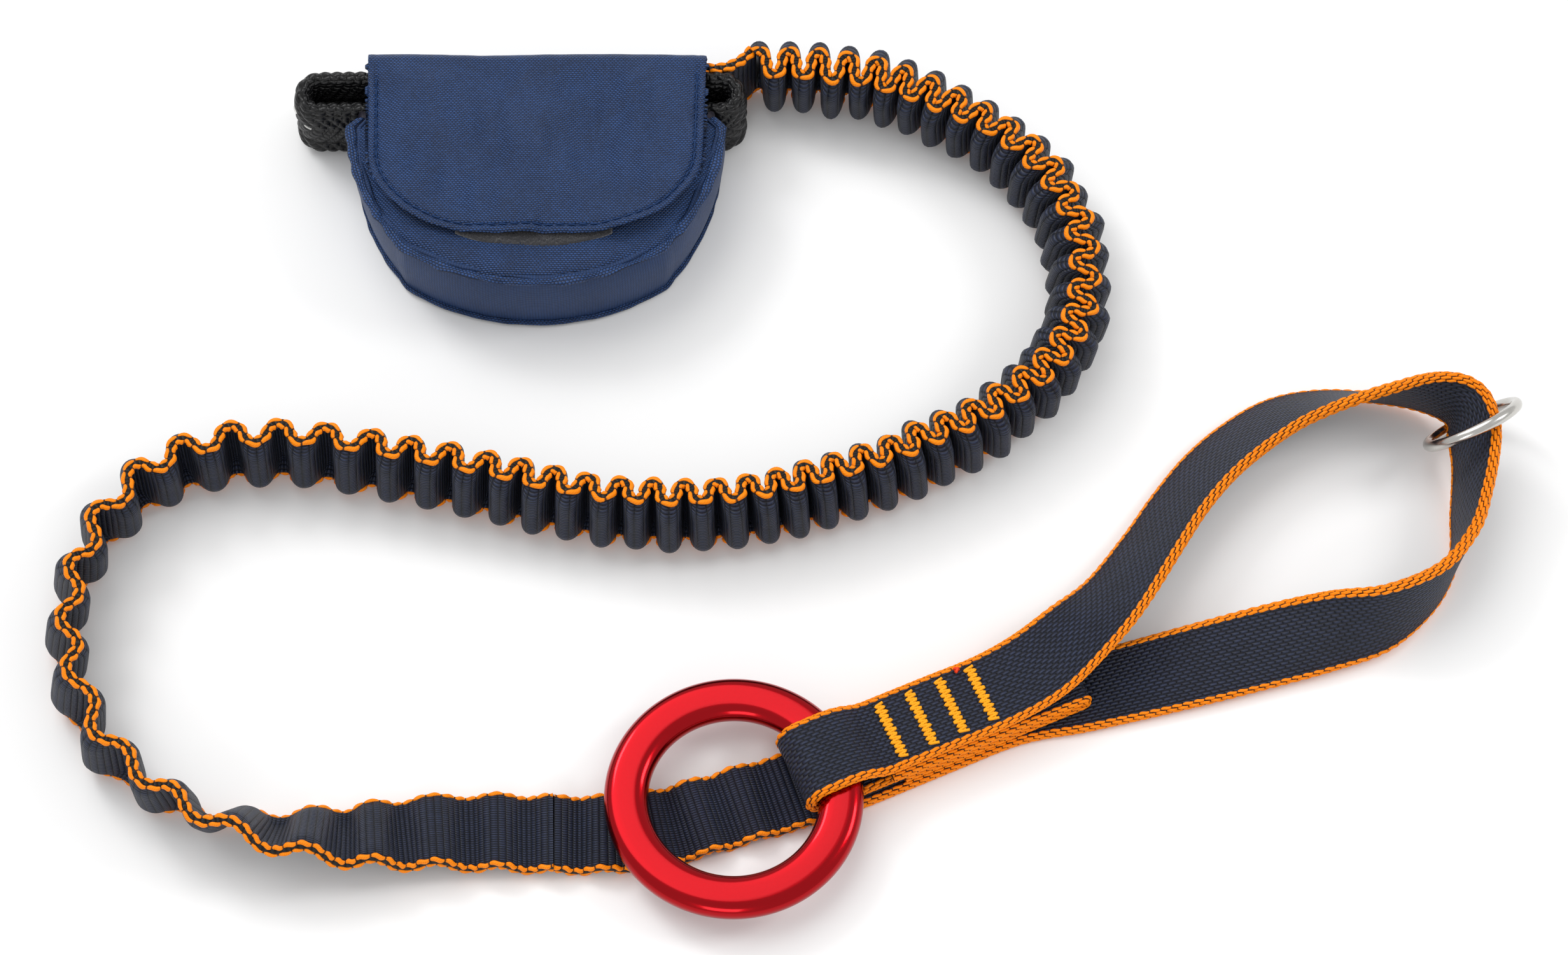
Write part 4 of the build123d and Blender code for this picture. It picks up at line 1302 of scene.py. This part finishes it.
def flap_cloth(inset, sink, rows):
    """The flap's cloth, or its lining where inset and sink are set: the points, the place on the
    flat cloth, each column's x and its length. Rows gather towards the hem, for the stitching."""
    turn = np.linspace(0, pi / 2, 66)
    corner_x = FLAP_HALF - FLAP_CORNER + FLAP_CORNER * np.sin(turn)
    x = np.concatenate([np.linspace(0, FLAP_HALF - FLAP_CORNER, 22)[:-1], corner_x])
    x = np.concatenate([-x[:0:-1], x])
    beside = np.clip(np.abs(x) - (FLAP_HALF - FLAP_CORNER), 0, None)
    low = FLAP_LOW + FLAP_RISE * (1 - np.sqrt(np.clip(1 - (beside / FLAP_CORNER) ** 2, 0, None)))
    over = FLAP_REAR + FLAP_BEND * pi / 2
    whole = over + (HINGE_Y + 0.6 * MM - FLAP_BEND - low) - inset
    t = np.linspace(0, 1, rows)[None, :]
    path = whole[:, None] * (t + 0.55 * np.sin(pi * t) / pi)
    across = np.broadcast_to(x[:, None] * (1 - inset / FLAP_HALF), path.shape)
    y, z, beyond = flap_point(path)
    across = across * flap_half(y) / FLAP_HALF
    flat = np.stack([across, y], axis=-1)
    far, where = nearest(flat, flap_edge())
    far = np.where(beyond > 0, far, flap_half(y) - np.abs(across))
    top = flap_height(flat, far, where * EDGE_STEP)
    share = np.clip(beyond / (6 * MM), 0, 1)
    rear = 0.25 * np.clip(path / FLAP_REAR, 0, 1)
    z = z + (top - FLAP_TOP) * np.where(beyond > 0, 0.25 + 0.75 * share, rear)
    up = np.clip(path / over, 0, 1)
    swell = 0.3 * MM * np.sin(across / (11 * MM)) * np.sin(pi * up)
    points = np.stack([across, y + swell - sink * (1 - up), z - sink * up], axis=-1)
    return points, np.stack([across, path], axis=-1), x, whole


class LANYARD_OT_flap(bpy.types.Operator):
    """Add the pouch flap, a cloth that turns over the top edge, its lining and its topstitching"""

    bl_idname = "lanyard.flap"
    bl_label = "Pouch flap"

    def execute(self, context):
        for name, node, inset, sink, rows, cloth_name, thickness, slot in (
            ("pouch_flap", "flap", 0, 0, 190, "nylon", 0.9 * MM, "pouch_nylon"),
            ("pouch_flap_lining", "flap_lining", 1.6 * MM, 1.0 * MM, 100, "lining", 0.3 * MM, "lining_nylon"),
        ):
            points, cloth, x, whole = flap_cloth(inset, sink, rows)
            piece = make_piece(name, [grid(points, cloth)], [material(cloth_name)], up=True)
            thicken(piece, thickness)
            place(piece, "flap", slot, node)
        threads = make_piece("flap_stitching", self.stitches(flap_edge()), [material("seam")])
        place(threads, "flap", "pouch_nylon")
        return {"FINISHED"}

    def stitches(self, edge):
        """Topstitching 2.4 mm in from the edge: every 3.2 mm a thread that arches over the cloth and
        dives at both ends, its radius falling to a third there."""
        ahead = tangents(edge)
        inward = np.stack([ahead[:, 1], -ahead[:, 0]], axis=1)
        inner = edge + inward * 2.4 * MM
        inner = inner[(edge[:, 1] < HINGE_Y - 5 * MM)]
        run = arc_length(inner)
        grids = []
        for start in np.arange(1 * MM, run[-1] - 4 * MM, 3.2 * MM):
            at = start + np.linspace(0, 2.75, 9) * MM
            flat = along(inner, at)
            far, where = nearest(flat[None], edge)
            base = flap_height(flat[None], far, where * EDGE_STEP)[0]
            arch = np.sin(np.linspace(0, pi, 9))
            line = np.concatenate([flat, (base + (0.42 * arch - 0.05) * MM)[:, None]], axis=1)
            grids.append(tube(line, (0.12 + 0.16 * arch**0.5) * MM, 6))
        return grids


# ---------------------------------------------------------------- webbing end loops


class LANYARD_OT_end_loops(bpy.types.Operator):
    """Add the absorber webbing's two end loops, which stand on edge in the side ports"""

    bl_idname = "lanyard.end_loops"
    bl_label = "Webbing end loops"

    def execute(self, context):
        sizes = context.scene.lanyard_sizes
        for node, side, reach, name in (
            ("harness_loop", -1, 68.5, "left_end_loop"), ("lanyard_loop", 1, 58.6, "right_end_loop")
        ):
            bend, offset = (reach - 6.6) * MM, 4.9 * MM
            turn = np.linspace(pi / 2, -pi / 2, 40)
            arc = np.stack([bend + offset * np.cos(turn), 26 * MM + offset * np.sin(turn)], axis=1)
            legs = [np.array([36.0 * MM, 26 * MM + s * offset]) for s in (1, -1)]
            flat = np.vstack([legs[0], arc, legs[1]]) * [side, 1]
            flat = along(flat, np.arange(0, arc_length(flat)[-1], 0.28 * MM))
            line = np.concatenate([flat, np.full((len(flat), 1), 13.0 * MM)], axis=1)
            line[:, 2] += 0.4 * MM * np.sin(arc_length(line) / (9 * MM))
            piece = self.loop(name, line, np.broadcast_to(UP, line.shape), sizes, side)
            place(piece, "lanyard", "absorber_webbing", node)
        return {"FINISHED"}

    def loop(self, name, line, wide, sizes, side):
        """A braid: herringbone cords, each a mound |sin|^0.7 that runs at a slant which turns over
        every 7 mm across, 0.9 mm high, and thick rolled edges."""
        width, thickness = sizes.webbing_width, sizes.loop_thickness
        a, b, na, nb = section(width, thickness, 60, 9)
        u = arc_length(line)[:, None]
        around = np.concatenate([[0], np.cumsum(np.hypot(np.diff(a), np.diff(b)))])[None, :]
        zig = np.abs(((around / (7.0 * MM)) % 2) - 1) * 7.0 * MM
        cord = np.abs(np.sin(pi * (u / (3.4 * MM) + zig / (4.6 * MM)))) ** 0.7
        split = np.abs(np.sin(pi * around / (7.0 * MM))) ** 0.35
        swell = 0.9 * MM * (cord * split - 0.5)
        face = np.cross(tangents(line), wide)
        across = (a + na * swell)[..., None]
        through = (b + nb * swell)[..., None]
        points = line[:, None] + wide[:, None] * across + face[:, None] * through
        uv = np.stack(np.broadcast_arrays(u, around), axis=-1)
        grids = [grid(points, uv, round_v=True, caps=True)]
        # Five short white dashes at random places on the braid: painted glints, drawn as white threads that
        # stand just off the braid
        rng = np.random.default_rng(5 + side)
        for start in rng.uniform(0.2, 0.8, 5):
            k = int(start * len(line))
            spot = int(rng.integers(4, 40))
            dash = points[k : k + 7, spot] + unit(points[k : k + 7, spot] - line[k : k + 7]) * 0.1 * MM
            grids.append(tube(dash, 0.28 * MM, 6, material=1))
        return make_piece(name, grids, [material("absorber"), material("painted_glint")])


# ---------------------------------------------------------------- kept nodes and stage

KEPT = {
    "hook_patch": "pile",
    "tear_webbing": "absorber_block",
    "harness_loop_stitching": "thread_block",
    "lanyard_loop_stitching": "thread_block",
    "pack_band": "tape",
    "inspection_label": "label",
}


class LANYARD_OT_hidden_pieces(bpy.types.Operator):
    """Give the pieces inside the pouch, which keep their CAD shape, their real materials"""

    bl_idname = "lanyard.hidden_pieces"
    bl_label = "Pieces inside the pouch"

    def execute(self, context):
        for node, name in KEPT.items():
            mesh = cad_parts[node].data
            if not mesh.materials:
                mesh.materials.append(None)
            for i in range(len(mesh.materials)):
                mesh.materials[i] = material(name)
        return {"FINISHED"}


class LANYARD_OT_studio(bpy.types.Operator):
    """Add the pale floor, the soft lights and the camera"""

    bl_idname = "lanyard.studio"
    bl_label = "Studio"

    def execute(self, context):
        tint = context.scene.lanyard_colours
        size = 3.0
        corners = [[[-size, -size, 0], [-size, size, 0]], [[size, -size, 0], [size, size, 0]]]
        corners = np.array(corners)
        # Matt painted floor: faint mottling, no gloss
        floor_material = grained_material(
            "matt_studio_floor", tuple(tint.floor), {"Scale": 40.0}, 0.985, 1.0, 0.7,
            Specular_IOR_Level=0.2,
        )
        floor = make_piece("floor", [grid(corners, corners[..., :2])], [floor_material], up=True)
        scene = context.scene
        scene.view_settings.view_transform = "Standard"
        scene.view_settings.look = "None"
        world = bpy.data.worlds.new("soft_white_room")
        world.use_nodes = True
        back = world.node_tree.nodes["Background"]
        back.inputs[0].default_value = (1.0, 1.0, 1.0, 1.0)
        back.inputs[1].default_value = 0.72
        scene.world = world
        lights = [
            ("key_softbox", (-0.9, 0.9, 1.2), 0.5, 7.0),
            ("fill_softbox", (1.2, 0.1, 0.9), 0.4, 4.0),
            ("low_softbox", (-0.1, -1.3, 0.6), 0.5, 2.5),
        ]
        sun = bpy.data.lights.new("window", "SUN")
        sun.energy, sun.angle = 1.0, radians(50)
        lamp = bpy.data.objects.new("window", sun)
        lamp.rotation_euler = (radians(-26), radians(-24), 0)
        context.collection.objects.link(lamp)
        for name, spot, size, power in lights:
            light = bpy.data.lights.new(name, "AREA")
            light.shape = "SQUARE"
            light.size = size
            light.energy = power
            lamp = bpy.data.objects.new(name, light)
            lamp.location = spot
            aim = np.array([0.06, -0.07, 0.0]) - np.array(spot)
            flat = hypot(aim[0], aim[1])
            lamp.rotation_euler = (np.arctan2(flat, -aim[2]), 0, np.arctan2(aim[1], aim[0]) - pi / 2)
            context.collection.objects.link(lamp)
        lens = bpy.data.cameras.new("camera")
        lens.sensor_width = 36
        lens.lens = 131.84
        lens.clip_start = 0.05
        camera = bpy.data.objects.new("camera", lens)
        camera.location = (0.070, -0.8109, 1.4256)
        camera.rotation_euler = (radians(27), 0, 0)
        context.collection.objects.link(camera)
        scene.camera = camera
        return {"FINISHED"}


# ---------------------------------------------------------------- panel and run

STEPS = (
    LANYARD_OT_stretch_webbing,
    LANYARD_OT_end_tab,
    LANYARD_OT_handle_webbing,
    LANYARD_OT_ring_wrap,
    LANYARD_OT_folded_tail,
    LANYARD_OT_bar_tacks,
    LANYARD_OT_anchor_ring,
    LANYARD_OT_tip_ring,
    LANYARD_OT_front_panel,
    LANYARD_OT_back_panel,
    LANYARD_OT_gusset,
    LANYARD_OT_seam_rolls,
    LANYARD_OT_port_bindings,
    LANYARD_OT_rear_wall,
    LANYARD_OT_loop_patch,
    LANYARD_OT_flap,
    LANYARD_OT_end_loops,
    LANYARD_OT_hidden_pieces,
    LANYARD_OT_studio,
)


class LANYARD_PT_pieces(bpy.types.Panel):
    """Sidebar panel with a button for each piece"""

    bl_idname = "LANYARD_PT_pieces"
    bl_label = "Shock absorbing lanyard"
    bl_space_type = "VIEW_3D"
    bl_region_type = "UI"
    bl_category = "Lanyard"

    def draw(self, context):
        column = self.layout.column()
        for group in (context.scene.lanyard_sizes, context.scene.lanyard_colours):
            for key in group.bl_rna.properties.keys():
                if key not in ("rna_type", "name"):
                    column.prop(group, key)
        for step in STEPS:
            column.operator(step.bl_idname)


CLASSES = (LanyardSizes, LanyardColours, *STEPS, LANYARD_PT_pieces)


def register():
    """Registers the add-on's classes and its scene properties."""
    for cls in CLASSES:
        bpy.utils.register_class(cls)
    bpy.types.Scene.lanyard_sizes = bpy.props.PointerProperty(type=LanyardSizes)
    bpy.types.Scene.lanyard_colours = bpy.props.PointerProperty(type=LanyardColours)


def unregister():
    """Takes the add-on's classes and properties away again."""
    del bpy.types.Scene.lanyard_colours
    del bpy.types.Scene.lanyard_sizes
    for cls in reversed(CLASSES):
        bpy.utils.unregister_class(cls)


def main():
    """Registers the add-on, then runs every step in order."""
    register()
    for step in STEPS:
        category, action = step.bl_idname.split(".")
        getattr(getattr(bpy.ops, category), action)()


if __name__ == "__main__":
    main()
